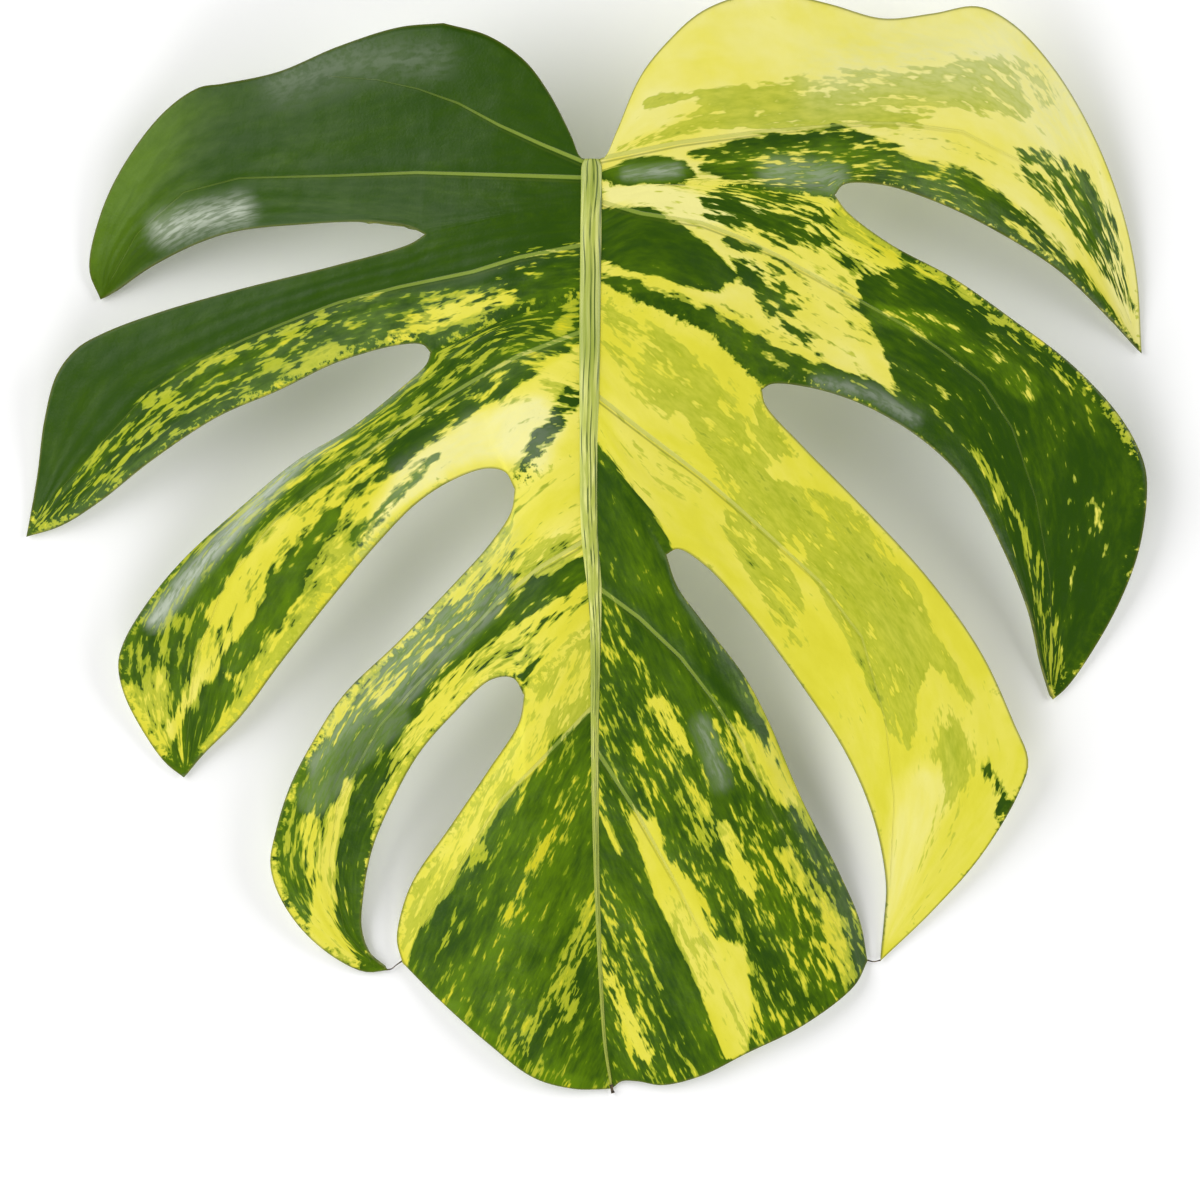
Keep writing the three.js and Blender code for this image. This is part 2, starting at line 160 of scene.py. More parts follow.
# Each lobe: where it meets the midrib (its upper edge, its middle and its lower edge), and its upper
# edge, middle line and lower edge, each from the midrib to slot level and on to the tip.
lobes = {
    "left1": {
        "base": (103, 98.1, 89.5), "rows": 56,
        "upper": ([(-1.2, 103.3), (-4, 109.5), (-10, 121), (-16.5, 129.5), (-26, 136), (-38, 139.5)],
                  [(-50, 138.5), (-66.5, 133.5), (-82.5, 127), (-97.5, 124), (-104, 123),
                   (-113.5, 116.5), (-124.5, 102.5), (-131, 89), (-134, 74.5), (-131, 66.5)]),
        "middle": ([(-23, 98.5), (-43.5, 99.5)],
                   [(-66.5, 99), (-93.5, 98.5), (-112, 91), (-124.5, 80), (-131, 66.5)]),
        "lower": (webs["left1"],
                  [(-47, 85), (-58.5, 86.5), (-77, 86), (-93.5, 84.5), (-104, 81.5), (-117.5, 75),
                   (-126.5, 69), (-131, 66.5)]),
    },
    "left2": {
        "base": (89.5, 78.5, 67.5), "rows": 42,
        "upper": (webs["left1"],
                  [(-47, 80.5), (-66.5, 75), (-93.5, 68.5), (-115, 62.5), (-130, 57), (-137, 53),
                   (-142.5, 46), (-146, 33.5), (-148, 19), (-151, 2.5)]),
        "middle": ([(-18, 76.5), (-42, 70.5)],
                   [(-66.5, 65), (-90.5, 55.5), (-117.5, 41), (-138, 20), (-151, 2.5)]),
        "lower": (webs["left2"],
                  [(-43.5, 53.5), (-50, 53.5), (-66.5, 49), (-82.5, 41.5), (-99, 34.5),
                   (-117.5, 22.5), (-131, 12), (-141.5, 5.5), (-151, 2.5)]),
    },
    "left3": {
        "base": (67.5, 47, 26.5), "rows": 48,
        "upper": (webs["left2"],
                  [(-42.5, 48.5), (-50, 41.5), (-63.5, 31), (-77, 23), (-93.5, 9.5), (-108.5, -4),
                   (-118.5, -16), (-124.5, -26), (-126, -32), (-124.5, -40), (-119.5, -50),
                   (-113.5, -58.5), (-108.5, -62.5)]),
        "middle": ([(-18, 50), (-31, 42.5)],
                   [(-50, 31), (-72, 15.5), (-91, -1.5), (-103, -22.5), (-108, -44),
                    (-108.5, -62.5)]),
        "lower": (webs["left3"],
                  [(-21.5, 19.5), (-26.5, 20.5), (-35.5, 17.5), (-45, 11.5), (-55.5, 1), (-69, -15),
                   (-82.5, -32), (-93.5, -46.5), (-103.5, -56.5), (-108.5, -62.5)]),
    },
    "left4": {
        "base": (26.5, 3.25, -20), "rows": 42,
        "upper": (webs["left3"],
                  [(-20, 9), (-26, 0), (-36, -11), (-50, -25.5), (-65, -40), (-73, -52),
                   (-79.5, -64.5), (-83.5, -77), (-85, -85.5), (-83, -93.5), (-77, -103),
                   (-68, -111), (-59.5, -115), (-53.5, -114.5)]),
        "middle": ([(-8, -2.5), (-18.5, -11.5)],
                   [(-31, -24), (-44, -37.5), (-56, -51), (-66, -68.5), (-71, -85), (-69, -98),
                    (-62, -109.5), (-53.5, -114.5)]),
        "lower": (webs["left4"],
                  [(-19.5, -35.5), (-25.5, -36), (-36, -45.5), (-45, -56), (-52, -68.5),
                   (-57.5, -81.5), (-60, -94), (-60.5, -103.5), (-58, -110.5), (-53.5, -114.5)]),
    },
    "left5": {
        "base": (-20, -83.25, -146.5), "rows": 78,
        "upper": (webs["left4"],
                  [(-18, -47.5), (-26, -60), (-36.5, -75.5), (-46.5, -90), (-50, -99.5),
                   (-51, -106.5), (-49.5, -112.5)]),
        "middle": ([(-5, -90.5), (-12, -102)], [(-19, -118), (-26, -134.5)]),
        "margin": [(-49.5, -112.5), (-39.5, -122.5), (-26, -134.5), (-14, -143.5), (-3, -146.5)],
        "marginSkew": 1,
    },
    "right1": {
        "base": (103, 99.75, 96.5), "rows": 58,
        "upper": ([(4.8, 103.3), (8, 110), (14.5, 125), (21, 133.5), (31, 142.5), (43, 147),
                   (53.5, 147.5)],
                  [(66, 144.5), (79.5, 141), (93, 142.5), (105, 144.5), (114.5, 140),
                   (125.5, 128.5), (136, 111.5), (144, 92), (148.5, 73), (150, 52)]),
        "middle": ([(25, 107.5), (47, 110.5), (58, 111.5)],
                   [(85, 113), (101, 111), (117, 103), (128, 93.5), (138.5, 78.5), (150, 52)]),
        "lower": (webs["right1"],
                  [(69, 96.5), (79.5, 96.5), (95.5, 91.5), (112, 83.5), (128, 73.5), (141.5, 61),
                   (150, 52)]),
    },
    "right2": {
        "base": (96.5, 82.2, 67.5), "rows": 54,
        "upper": (webs["right1"],
                  [(70, 89), (81.5, 80.5), (98.5, 71.5), (114.5, 60.5), (130.5, 48.5), (144, 34),
                   (150, 22.5), (151, 15), (149, -1), (143.5, -16), (135, -31), (129.5, -38.5),
                   (126, -41.5)]),
        "middle": ([(14.5, 88.5), (31, 86), (55, 76)],
                   [(74, 65), (95.5, 52), (106.5, 43.5), (114.5, 31.5), (121.5, 12.5),
                    (125, -14.5), (126, -41.5)]),
        "lower": (webs["right2"],
                  [(49.5, 43), (60.5, 42), (74.5, 37.5), (90, 28.5), (102.5, 16.5), (112.5, -1),
                   (119.5, -17.5), (123, -32), (126, -41.5)]),
    },
    "right3": {
        "base": (67.5, 47, 26.5), "rows": 56,
        "upper": (webs["right2"],
                  [(48, 37.5), (58, 26.5), (74, 10.5), (92, -9), (106, -28.5), (115, -47.5),
                   (119, -58), (116.5, -66.5), (106.5, -83.5), (93, -99), (79.5, -112)]),
        "middle": ([(14.5, 31), (34, 18)],
                   [(52, 0), (67, -14), (81, -32), (90, -51), (92.5, -70), (88, -92), (79.5, -112)]),
        "lower": (webs["right3"],
                  [(24.5, -1), (32, -5.5), (43, -17.5), (56.5, -35.5), (70, -56), (77.5, -73.5),
                   (81, -91), (80.5, -101.5), (79.5, -112)]),
    },
    "right4": {
        "base": (26.5, -32.6, -146.5), "rows": 118,
        "upper": (webs["right3"],
                  [(24.5, -11), (31, -20), (42.5, -35), (49, -47), (58, -68), (68.5, -88.5),
                   (74, -101.5), (76, -112)]),
        "middle": ([(10, -39), (19.5, -49.5)], [(31, -66), (41.5, -87.5), (51, -109), (59, -129)]),
        "margin": [(76, -112), (72.5, -118.5), (59, -129), (43, -137), (31, -143),
                   (20.5, -145.5), (14, -144.5), (9.5, -144.5)],
        "marginSkew": 1.7,
    },
}

# Side veins as they run through the lobes.
sideVeins = [
    [(0, 98), (-23, 98.8), (-45, 99.6), (-66, 99), (-93, 98.6), (-108, 95), (-121, 84), (-128, 72)],
    [(0, 102), (-12, 107), (-23, 112), (-34, 118), (-45, 122), (-56, 124.5), (-68, 125.5)],
    [(-1, 80), (-18, 76.7), (-30, 73), (-40, 71), (-50, 69), (-66, 65), (-77, 61), (-91, 55.5),
     (-104, 49.5), (-118, 41), (-142, 15), (-149, 5)],
    [(-1, 57), (-18, 50.5), (-30, 44), (-40, 38), (-50, 31), (-61, 23), (-72, 15.5), (-83, 7),
     (-97, -10), (-105, -31), (-108, -55)],
    [(0, 1.5), (-12.5, -6), (-23, -14.5), (-34, -26), (-45, -37), (-55.5, -48.5), (-66.5, -68.5),
     (-69, -85), (-65, -104), (-58, -112)],
    [(2, -43), (-12.5, -58), (-23, -68.5), (-34, -86), (-44, -103)],
    [(3, 103), (25, 107.5), (47, 110.5), (74, 113), (85, 113), (101, 111), (117, 103),
     (128, 93.5), (139, 78.5), (147, 60)],
    [(3, 92), (14.5, 88.5), (31, 86), (41.5, 82), (52, 77), (63, 71), (74, 65), (85, 59),
     (95.5, 52), (106.5, 43.5), (114.5, 31.5), (121, 12.5), (125, -9), (126, -32)],
    [(3, 40), (14.5, 31), (31, 18.5), (41.5, 9.5), (52, 0), (63, -10), (74, -24.5), (80.5, -47),
     (83, -68.5), (82, -92)],
    [(3, -11), (14.5, -19.5), (25.5, -30), (34, -41), (42, -53), (49, -69), (60, -90), (71, -108)],
    [(3, -55), (14, -72), (25, -92), (35, -112), (44, -131)],
]


# The midrib's arch, less a share of it that grows as a power of the way along the lobe, plus a swell
# of sin^2 between the side veins, less a droop of across^2 at the free edges.
def bladeHeight(along, across, rowY, bottomLobe):
    lost, power = blade["fall"]
    fall = lost * along ** power
    swell = smoothStep(0, 0.25, along) * (1 - smoothStep(0.75, 1, along))
    droop = smoothStep(blade["slotLevel"], 0.7, along) * (1 - smoothStep(0.85, 1, along))
    inside = bottomLobe & (across > 0)
    bulge = np.where(inside, 0, blade["bulge"] * swell * np.sin(across * np.pi / 2) ** 2)
    sag = np.where(inside, 0, blade["edgeDroop"] * droop * across ** 2)
    lift = blade["bottomLift"] * along ** 2 * (1 - across ** 2) if bottomLobe else 0
    height = between(blade["arch"], rowY) * (1 - fall) + bulge - sag + lift
    return np.maximum(height, 0) + blade["clearance"]


# One lobe on a grid. Across the lobe, a quadratic passes through its upper edge, middle line and
# lower edge; what is left over at the midrib and the margin is faded in along the lobe. The grain is
# the distance run along a row and the offset from the middle row; the seam is the gap to the edges.
def lobeGrid(name):
    lobe = lobes[name]
    level = blade["slotLevel"]
    innerShares = np.linspace(0, 1, blade["innerSteps"] + 1)
    outerShares = np.linspace(0, 1, blade["outerSteps"] + 1)[1:] ** blade["tipCrowding"]
    along = np.concatenate([innerShares * level, level + outerShares * (1 - level)])
    across = np.linspace(-1, 1, lobe["rows"] + 1)
    top, mid, low = lobe["base"]
    rowY = np.where(across < 0, mid + (top - mid) * -across, mid + (low - mid) * across)
    midribX = between([(y, x) for x, y in blade["midrib"]], rowY)

    def run(startY, line):
        start = (float(between([(y, x) for x, y in blade["midrib"]], startY)), startY)
        inner = alongCurve([start, *line[0]], innerShares)
        return np.vstack([inner, alongCurve([line[0][-1], *line[1]], outerShares)])

    upper = run(top, lobe["upper"])
    middle = run(mid, lobe["middle"])
    apex = np.array(blade["midrib"][-1], float)
    bottomLobe = "margin" in lobe
    lower = np.tile(apex, (len(along), 1)) if bottomLobe else run(low, lobe["lower"])
    t = across[:, None, None]
    grid = upper * t * (t - 1) / 2 + middle * (1 - t * t) + lower * t * (t + 1) / 2
    end = np.tile(upper[-1], (len(across), 1))
    if bottomLobe:
        end = alongCurve([*lobe["margin"], apex], ((across + 1) / 2) ** lobe["marginSkew"])
    s = along[None, :, None]
    atStart = np.stack([midribX, rowY], -1) - grid[:, 0]
    atEnd = end - grid[:, -1]
    grid = grid + atStart[:, None] * (1 - s) + atEnd[:, None] * s
    alongGrid, acrossGrid = np.meshgrid(along, across)
    height = bladeHeight(alongGrid, acrossGrid, rowY[:, None], bottomLobe)
    places = np.dstack([grid, height])
    steps = np.linalg.norm(np.diff(grid, axis=1), axis=2)
    reach = np.concatenate([np.zeros((len(across), 1)), np.cumsum(steps, axis=1)], axis=1)
    halfWidth = np.linalg.norm(upper - lower, axis=1)[None] / 2
    sideways = acrossGrid * (halfWidth + halfWidth.mean()) / 2
    if bottomLobe:
        outwards, downwards = blade["bottomGrain"]
        outwards = math.copysign(outwards, end[0, 0])
        reach = grid[..., 0] * outwards - grid[..., 1] * downwards
        sideways = grid[..., 0] * downwards + grid[..., 1] * outwards
    number = np.full_like(reach, blade["grainGap"] * list(lobes).index(name))
    grain = np.dstack([reach, sideways, number])
    seam = halfWidth * (1 + acrossGrid if bottomLobe else 1 - np.abs(acrossGrid))
    return places, grain, seam, alongGrid, acrossGrid


# green: share of green tissue. fleck: how much streaks and specks break the border up.
# cream: paleness of the yellow tissue. lime: share of lime patches in it. deep: darkness of the
# green tissue. bloom: painted sheen, a paleness that stands in for reflections of the lights.
tones = {"green": 0.5, "fleck": 0.6, "cream": 0.4, "lime": 0.4, "deep": 0.7, "bloom": 0.0}
areaGrowth = 0.8


# A closed outline, filled.
def area(outline, soft=1.2, **values):
    return {"line": outline + outline[:1], "closed": True, "soft": soft, "values": values}


# An open line, whose width goes straight from the first of widths to the second.
def streak(line, widths, soft=1.2, **values):
    return {"line": line, "closed": False, "widths": widths, "soft": soft, "values": values}


# Strokes that set bloom paint pale patches that stand in for reflections of the lights; every other value is
# the leaf's own colour.
variegation = [
    # left shoulder and the upper half of the lobe below it: plain dark green
    area([(4, 150), (-160, 150), (-160, 2), (-137, 20), (-118, 43), (-77, 60), (-19, 69), (4, 78)],
         green=1.0, fleck=0.1, deep=0.85),
    area([(-106, 130), (-145, 120), (-145, 60), (-128, 66), (-114, 90), (-108, 110)], soft=14, deep=0.4),
    # painted sheen: a pale patch that stands in for a reflection on the left shoulder
    streak([(-113, 85), (-103, 88), (-93, 90)], (5, 4), soft=5.5, bloom=0.75),
    streak([(-81, 124), (-61, 130), (-40, 130)], (8, 6), soft=7, bloom=0.14),
    area([(-3, 77), (-19, 69), (-56, 67), (-77, 60), (-104, 50), (-118, 43), (-124, 33), (-137, 20),
          (-152, 2), (-142, 3), (-129, 12), (-115, 23), (-99, 33), (-77, 43), (-56, 51), (-42, 52),
          (-29, 54), (-3, 54)], green=0.63, fleck=1, cream=0.2, lime=0.6, deep=0.6),
    area([(-2, 81), (-23, 77), (-25, 66), (-18, 54), (-2, 53)], green=0.74, fleck=0.8),
    streak([(-50, 57), (-37, 62), (-20, 67)], (6, 5), green=0.25, fleck=0.8, cream=0.4, lime=0.2),
    streak([(-78, 47), (-67, 53)], (5, 4), green=0.25, fleck=0.6, cream=0.2, lime=0.9),
    streak([(-6, 58), (-3, 66)], (4, 4), green=0.3, fleck=0.8, cream=0.1, lime=0.6),
    # left third lobe
    area([(-2, 56), (-23, 54), (-42, 51), (-50, 43), (-64, 32), (-77, 24), (-93, 10), (-110, -4),
          (-121, -18), (-127, -28), (-126, -39), (-106, -31), (-99, -12), (-83, 7), (-61, 23),
          (-39, 38), (-18, 50)], green=0.55, fleck=0.85, cream=0.4, lime=0.6, deep=0.45),
    area([(-58, 21), (-83, 6), (-97, -12), (-107, -31), (-126, -39), (-118, -55), (-109, -64),
          (-100, -54), (-83, -32), (-66, -11), (-50, 6)], green=0.26, fleck=0.6, cream=0.45,
         lime=0.5),
    streak([(-50, 24), (-37, 33), (-17, 46)], (7, 6), green=0.84, fleck=0.8),
    area([(-1, 53), (-16, 43), (-31, 33), (-45, 24), (-58, 12), (-52, 6), (-39, 15), (-23, 20),
          (-20, 12), (-23, 6), (0, -2), (1, 26)], green=0.06, fleck=0.4, cream=0.6, lime=0.3),
    area([(-50, 21), (-31, 34), (-12, 39), (-7, 31), (-12, 21), (-23, 24), (-37, 20), (-50, 9),
          (-61, -4)], soft=3, cream=0.95, lime=0.1, bloom=0.12),
    streak([(-3, 40), (-10, 30), (-17, 19)], (6, 5), green=0.48, fleck=1),
    streak([(-40, 24), (-52, 12), (-63, 1)], (2.5, 4), green=0.62, fleck=0.8, deep=0.3),
    streak([(-68, 8), (-75, -2), (-83, -11)], (5, 6), green=0.8, fleck=0.6, deep=0.5),
    streak([(-79, -12), (-87, -22), (-95, -31)], (6, 7), green=0.84, fleck=0.7, deep=0.5),
    streak([(-95, -10), (-103, -22), (-110, -36), (-112, -48)], (2, 5), green=0.6, fleck=0.8, deep=0.4),
    streak([(-98, -42), (-105, -51), (-110, -60)], (13, 10), green=0.74, fleck=0.8, deep=0.5),
    streak([(-79, 6), (-90, -6), (-99, -19)], (5, 6), green=0.08, fleck=0.5, cream=0.5, lime=0.3),
    streak([(-90, -17), (-104, -36), (-112, -50)], (3, 3), green=0.1, fleck=0.6, cream=0.55, lime=0.2),
    streak([(-101, -55), (-83, -33), (-66, -12), (-50, 5), (-39, 13)], (6, 7), green=0.04, fleck=0.3,
           cream=0.3, lime=0.55),
    # painted sheen along the upper edge of the left third lobe, standing in for a reflection
    streak([(-46, 47), (-61, 35), (-77, 23), (-93, 6), (-107, -9), (-116, -20)], (3, 4), soft=2.5,
           bloom=0.6),
    # left fourth lobe
    area([(1, -1), (-23, 4), (-39, -15), (-56, -31), (-72, -50), (-81, -69), (-86, -85), (-83, -96),
          (-69, -110), (-53, -116), (-60, -98), (-57, -79), (-47, -58), (-35, -45), (-23, -36),
          (-7, -25), (1, -15)], green=0.14, fleck=0.7, cream=0.5, lime=0.4),
    streak([(-21, 2), (-38, -16), (-54, -32), (-68, -47)], (9, 8), soft=3, cream=0.55, lime=0.5,
           bloom=0.1),
    area([(-60, -41), (-50, -27), (-34, -15), (-20, -8), (-23, -17), (-36, -29), (-50, -44),
          (-62, -58), (-72, -68), (-74, -58)], green=0.6, fleck=1, deep=0.3, bloom=0.2),
    streak([(-78, -60), (-80, -76), (-79, -90), (-72, -102)], (9, 6), green=0.58, fleck=1, lime=0.6,
           deep=0.4),
    streak([(-2, -7), (-18, -16), (-33, -26), (-46, -40), (-55, -54), (-60, -68), (-63, -85),
            (-63, -101), (-56, -113)], (7, 8), green=0.84, fleck=0.7, deep=0.55),
    streak([(-52, -46), (-64, -57), (-73, -68)], (9, 9), green=0.86, fleck=0.7, deep=0.35, bloom=0.1),
    streak([(-64, -64), (-70, -84), (-72, -106)], (3, 6), green=0.06, fleck=0.5, cream=0.5, lime=0.3),
    streak([(-23, -37), (-37, -48), (-47, -60), (-54, -77), (-59, -96)], (3.5, 3.5), green=0.08,
           fleck=0.5, cream=0.3, lime=0.6),
    # left bottom lobe
    area([(2, -43), (-4, -48), (-10, -52), (-12, -58), (-18, -63), (-29, -78), (-38, -94),
          (-47, -106), (-49, -114), (-39, -126), (-20, -142), (0, -150), (8, -150), (4, -110),
          (3, -70)], green=0.86, fleck=0.85, cream=0.3, lime=0.6, deep=0.5),
    area([(1, -14), (-8, -25), (-16, -39), (-19, -48), (-26, -60), (-37, -76), (-48, -93),
          (-52, -102), (-49, -114), (-47, -106), (-38, -94), (-29, -78), (-18, -63), (-12, -58),
          (-10, -52), (-4, -48), (2, -43)], soft=0.8, green=0.04, fleck=0.4, cream=0.5, lime=0.45),
    streak([(-3, -69), (-8, -79)], (5, 4), green=0.5, fleck=1, cream=0.2),
    streak([(-11, -82), (-22, -100)], (6, 5), green=0.5, fleck=1, cream=0.2),
    streak([(-28, -82), (-32, -96), (-37, -106)], (5, 5), green=0.55, fleck=1, cream=0.2),
    streak([(3, -96), (-3, -112), (-6, -125)], (6, 7), green=0.52, fleck=1, cream=0.2),
    streak([(-7, -123), (-18, -137)], (9, 8), green=0.55, fleck=1, cream=0.2),
    streak([(-36, -125), (-14, -143), (6, -147)], (5, 5), green=0.62, fleck=1, cream=0.2, deep=0.2),
    # right shoulder
    area([(4, 104), (15, 126), (31, 144), (52, 149), (79, 143), (112, 145), (133, 120), (147, 88),
          (152, 52), (141, 60), (128, 72), (112, 82), (96, 90), (79, 96), (66, 94), (36, 97), (5, 97)],
         green=0.02, fleck=0.2, cream=0.82, lime=0.12),
    area([(15, 107), (31, 118), (47, 124), (74, 128), (101, 131), (123, 129), (128, 118), (114, 115),
          (101, 116), (85, 112), (74, 113), (52, 112), (31, 110)], soft=3, cream=0.75, lime=0.58),
    streak([(17, 118), (35, 121), (55, 119)], (3, 4), soft=2, green=0.06, fleck=0.4, lime=0.75),
    streak([(9, 106), (31, 112), (58, 115)], (2, 3), soft=2, green=0.1, fleck=0.5, lime=0.75),
    # painted sheen over the right shoulder, standing in for a reflection
    streak([(66, 126), (85, 130), (112, 130), (128, 118)], (14, 22), soft=9, cream=0.95, bloom=0.2),
    area([(28, 104), (47, 109), (66, 112), (82, 107), (101, 101), (117, 90), (133, 75), (148, 54),
          (139, 61), (123, 75), (101, 87), (82, 95), (69, 95), (55, 97), (42, 100)], green=0.66,
         fleck=0.9, deep=0.6, cream=0.6),
    streak([(88, 107), (101, 105), (117, 96), (132, 80)], (7, 7), soft=2, green=0.06, fleck=0.5, cream=0.85),
    area([(115, 107), (125, 105), (135, 99), (142, 87), (147, 64), (140, 73), (129, 88), (120, 97)],
         green=0.56, fleck=1, deep=0.5),
    # right second lobe
    area([(5, 97), (36, 97), (66, 94), (70, 89), (98, 72), (114, 60), (131, 48), (144, 34),
          (152, 23), (150, -4), (139, -25), (126, -43), (122, -31), (112, -2), (90, 28), (75, 37),
          (58, 42), (46, 41), (28, 58), (5, 68)], green=0.14, fleck=0.7, cream=0.6, lime=0.35),
    area([(5, 95), (17, 96), (31, 92), (47, 89), (31, 85), (17, 90), (6, 91)], soft=3, green=0.02,
         fleck=0.3, cream=1.0, lime=0.1),
    area([(5, 99), (11, 102), (19, 103), (26, 102), (28, 99), (24, 97), (15, 97), (8, 97)],
         green=0.9, fleck=0.35, deep=0.5),
    streak([(11, 99), (24, 100)], (2, 2.5), soft=2, bloom=0.4),
    area([(31, 101), (47, 104), (66, 108), (80, 104), (74, 98), (66, 94), (55, 94), (43, 97)],
         green=0.72, fleck=0.9, deep=0.4),
    streak([(50, 100), (66, 98)], (6, 7), soft=3, bloom=0.26, green=0.8, deep=0.2),
    area([(31, 92), (38, 96), (44, 96), (50, 92), (60, 91), (69, 88), (74, 85), (69, 83), (63, 80),
          (54, 80), (46, 83), (38, 85), (33, 87)], green=0.64, fleck=0.9, deep=0.6),
    streak([(70, 87), (82, 80), (96, 70)], (9, 6), green=0.14, fleck=0.7, cream=0.4, lime=0.6),
    area([(5, 89), (17, 89), (25, 85), (30, 81), (36, 76), (39, 71), (34, 69), (24, 71), (14, 73),
          (5, 77)], green=0.92, fleck=0.5, deep=0.7),
    area([(28, 86), (42, 83), (58, 75), (69, 66), (77, 58), (86, 49), (92, 38), (79, 43), (63, 51),
          (52, 57), (40, 63), (26, 68), (35, 67), (41, 70), (39, 75), (32, 82)], green=0.08, fleck=0.5,
         cream=0.75, lime=0.3),
    area([(38, 82), (47, 78), (57, 71), (61, 67), (56, 63), (52, 61), (58, 56), (64, 53), (59, 53),
          (51, 58), (45, 67), (41, 75)], soft=2, green=0.5, fleck=1),
    area([(5, 72), (13, 70), (24, 64), (33, 61), (47, 54), (56, 50), (69, 46), (87, 39), (101, 33),
          (94, 28), (86, 31), (69, 39), (56, 42), (47, 41), (31, 55), (15, 64), (5, 69)],
         green=0.82, fleck=0.7, deep=0.7),
    streak([(62, 44), (76, 41), (88, 34)], (2, 2.5), soft=2.5, bloom=0.32),
    area([(73, 70), (86, 74), (101, 66), (123, 53), (139, 39), (151, 25), (150, 2), (141, -21),
          (128, -41), (124, -36), (119, -15), (109, 6), (96, 24), (88, 33), (82, 48)], green=0.88,
         fleck=0.65, deep=0.8),
    streak([(85, 77), (112, 60), (139, 39), (150, 25)], (4, 6), green=0.45, fleck=1, lime=0.6),
    streak([(105, 25), (114, 10), (123, -8), (127, -36)], (3, 5), green=0.5, fleck=0.9, lime=0.7),
    streak([(78, 62), (96, 58), (118, 42)], (6, 8), green=0.7, fleck=1, deep=0.4),
    # right third lobe
    area([(4, 69), (15, 64), (31, 57), (46, 42), (50, 35), (74, 11), (92, -9), (106, -29),
          (120, -57), (106, -83), (93, -99), (80, -113), (82, -96), (77, -73), (70, -56), (57, -35),
          (43, -18), (32, -5), (21, -2), (15, 11), (9, 19), (3, 27)], green=0.02, fleck=0.25,
         cream=0.5, lime=0.2),
    area([(5, 65), (15, 60), (31, 50), (48, 38), (56, 24), (47, 21), (31, 34), (15, 42), (5, 52)],
         soft=3, cream=0.5, lime=0.6),
    area([(28, 35), (49, 18), (70, 11), (87, -8), (96, -27), (103, -41), (92, -31), (88, -41),
          (88, -55), (81, -50), (75, -34), (68, -20), (59, -6), (49, 4), (35, 18)], lime=0.68,
         fleck=0.5),
    area([(37, 18), (47, 6), (56, -10), (61, -27), (54, -27), (47, -12), (38, 4)], lime=0.62,
         fleck=0.5),
    area([(94, -47), (108, -58), (98, -77), (85, -92), (92, -69)], soft=3, lime=0.5),
    streak([(80, -104), (86, -84), (90, -66)], (5, 14), soft=4, cream=0.85, lime=0.15),
    streak([(108, -60), (112, -68), (113, -76)], (3, 5), green=0.62, fleck=1),
    # right bottom lobe
    area([(3, 26), (22, -1), (24, -11), (40, -33), (58, -68), (76, -112), (72, -120), (59, -130),
          (30, -144), (7, -149), (4, -110), (2, -60)], green=0.66, fleck=1, cream=0.35, lime=0.5,
         deep=0.55),
    area([(3, 27), (9, 19), (15, 11), (22, 0), (23, -9), (32, -23), (40, -36), (31, -39), (20, -28),
          (9, -15), (3, -4)], green=0.92, fleck=0.6, deep=0.7),
    streak([(17, -28), (28, -42), (34, -58), (39, -82)], (5, 4), green=0.96, fleck=0.4, deep=0.6),
    streak([(31, -48), (34, -56), (36, -63)], (2, 2.5), soft=3.5, bloom=0.34),
    area([(40, -43), (48, -45), (55, -60), (58, -70), (51, -69), (43, -58)], green=0.12, fleck=0.7,
         cream=0.5, lime=0.5),
    streak([(34, -36), (40, -42), (48, -50)], (3, 3), green=0.95, fleck=0.3, deep=0.9),
    streak([(19, -42), (27, -55)], (4, 3.5), green=0.12, fleck=0.7, cream=0.5, lime=0.3),
    streak([(37, -76), (44, -92)], (5, 5), green=0.1, fleck=0.7, cream=0.5, lime=0.4),
    streak([(6, -77), (17, -97), (28, -119), (36, -139)], (10, 12), green=0.88, fleck=0.7, deep=0.6),
    area([(12, -73), (18, -74), (21, -84), (28, -92), (34, -106), (42, -108), (44, -123), (43, -136),
          (38, -138), (31, -119), (24, -104), (20, -96), (17, -86)], soft=0.8, green=0.02, fleck=0.35,
         cream=0.55, lime=0.35),
    streak([(52, -82), (65, -97), (71, -116)], (4, 5), green=0.14, fleck=0.8, cream=0.4, lime=0.5),
    streak([(5, -74), (9, -82)], (1.5, 2), green=0.02, fleck=0.3, cream=0.5, lime=0.2),
    streak([(5, -112), (10, -124), (16, -137)], (3, 5), green=0.2, fleck=0.9, cream=0.5, lime=0.3),
    streak([(45, -38), (54, -58), (61, -73)], (3, 4), green=0.1, fleck=0.6, cream=0.3, lime=0.6),
]


# A stroke's mask is 1 within half its width of its line, or inside its outline grown by areaGrowth,
# and falls to 0 over its soft border; each tone moves to the stroke's value by that mask. A place is
# inside an outline when a level line from it crosses the outline an odd number of times.
def paintTones(places):
    fields = {name: np.full(len(places), value) for name, value in tones.items()}
    for stroke in variegation:
        line = np.array(stroke["line"], float)
        gap, share, side = awayFrom(places, line)
        if stroke["closed"]:
            x, y = places[:, :1], places[:, 1:]
            a, b = line[:-1], line[1:]
            spans = (a[:, 1] > y) != (b[:, 1] > y)
            rise = np.where(b[:, 1] == a[:, 1], 1e-9, b[:, 1] - a[:, 1])
            crossing = (y - a[:, 1]) / rise * (b[:, 0] - a[:, 0]) + a[:, 0]
            inside = np.sum(spans & (x < crossing), axis=1) % 2 == 1
            gap = np.where(inside, -gap, gap)
            half = areaGrowth
        else:
            first, last = stroke["widths"]
            half = (first + (last - first) * share) / 2
        mask = 1 - smoothStep(half - stroke["soft"], half + stroke["soft"], gap)
        for name, value in stroke["values"].items():
            fields[name] += mask * (value - fields[name])
    return fields


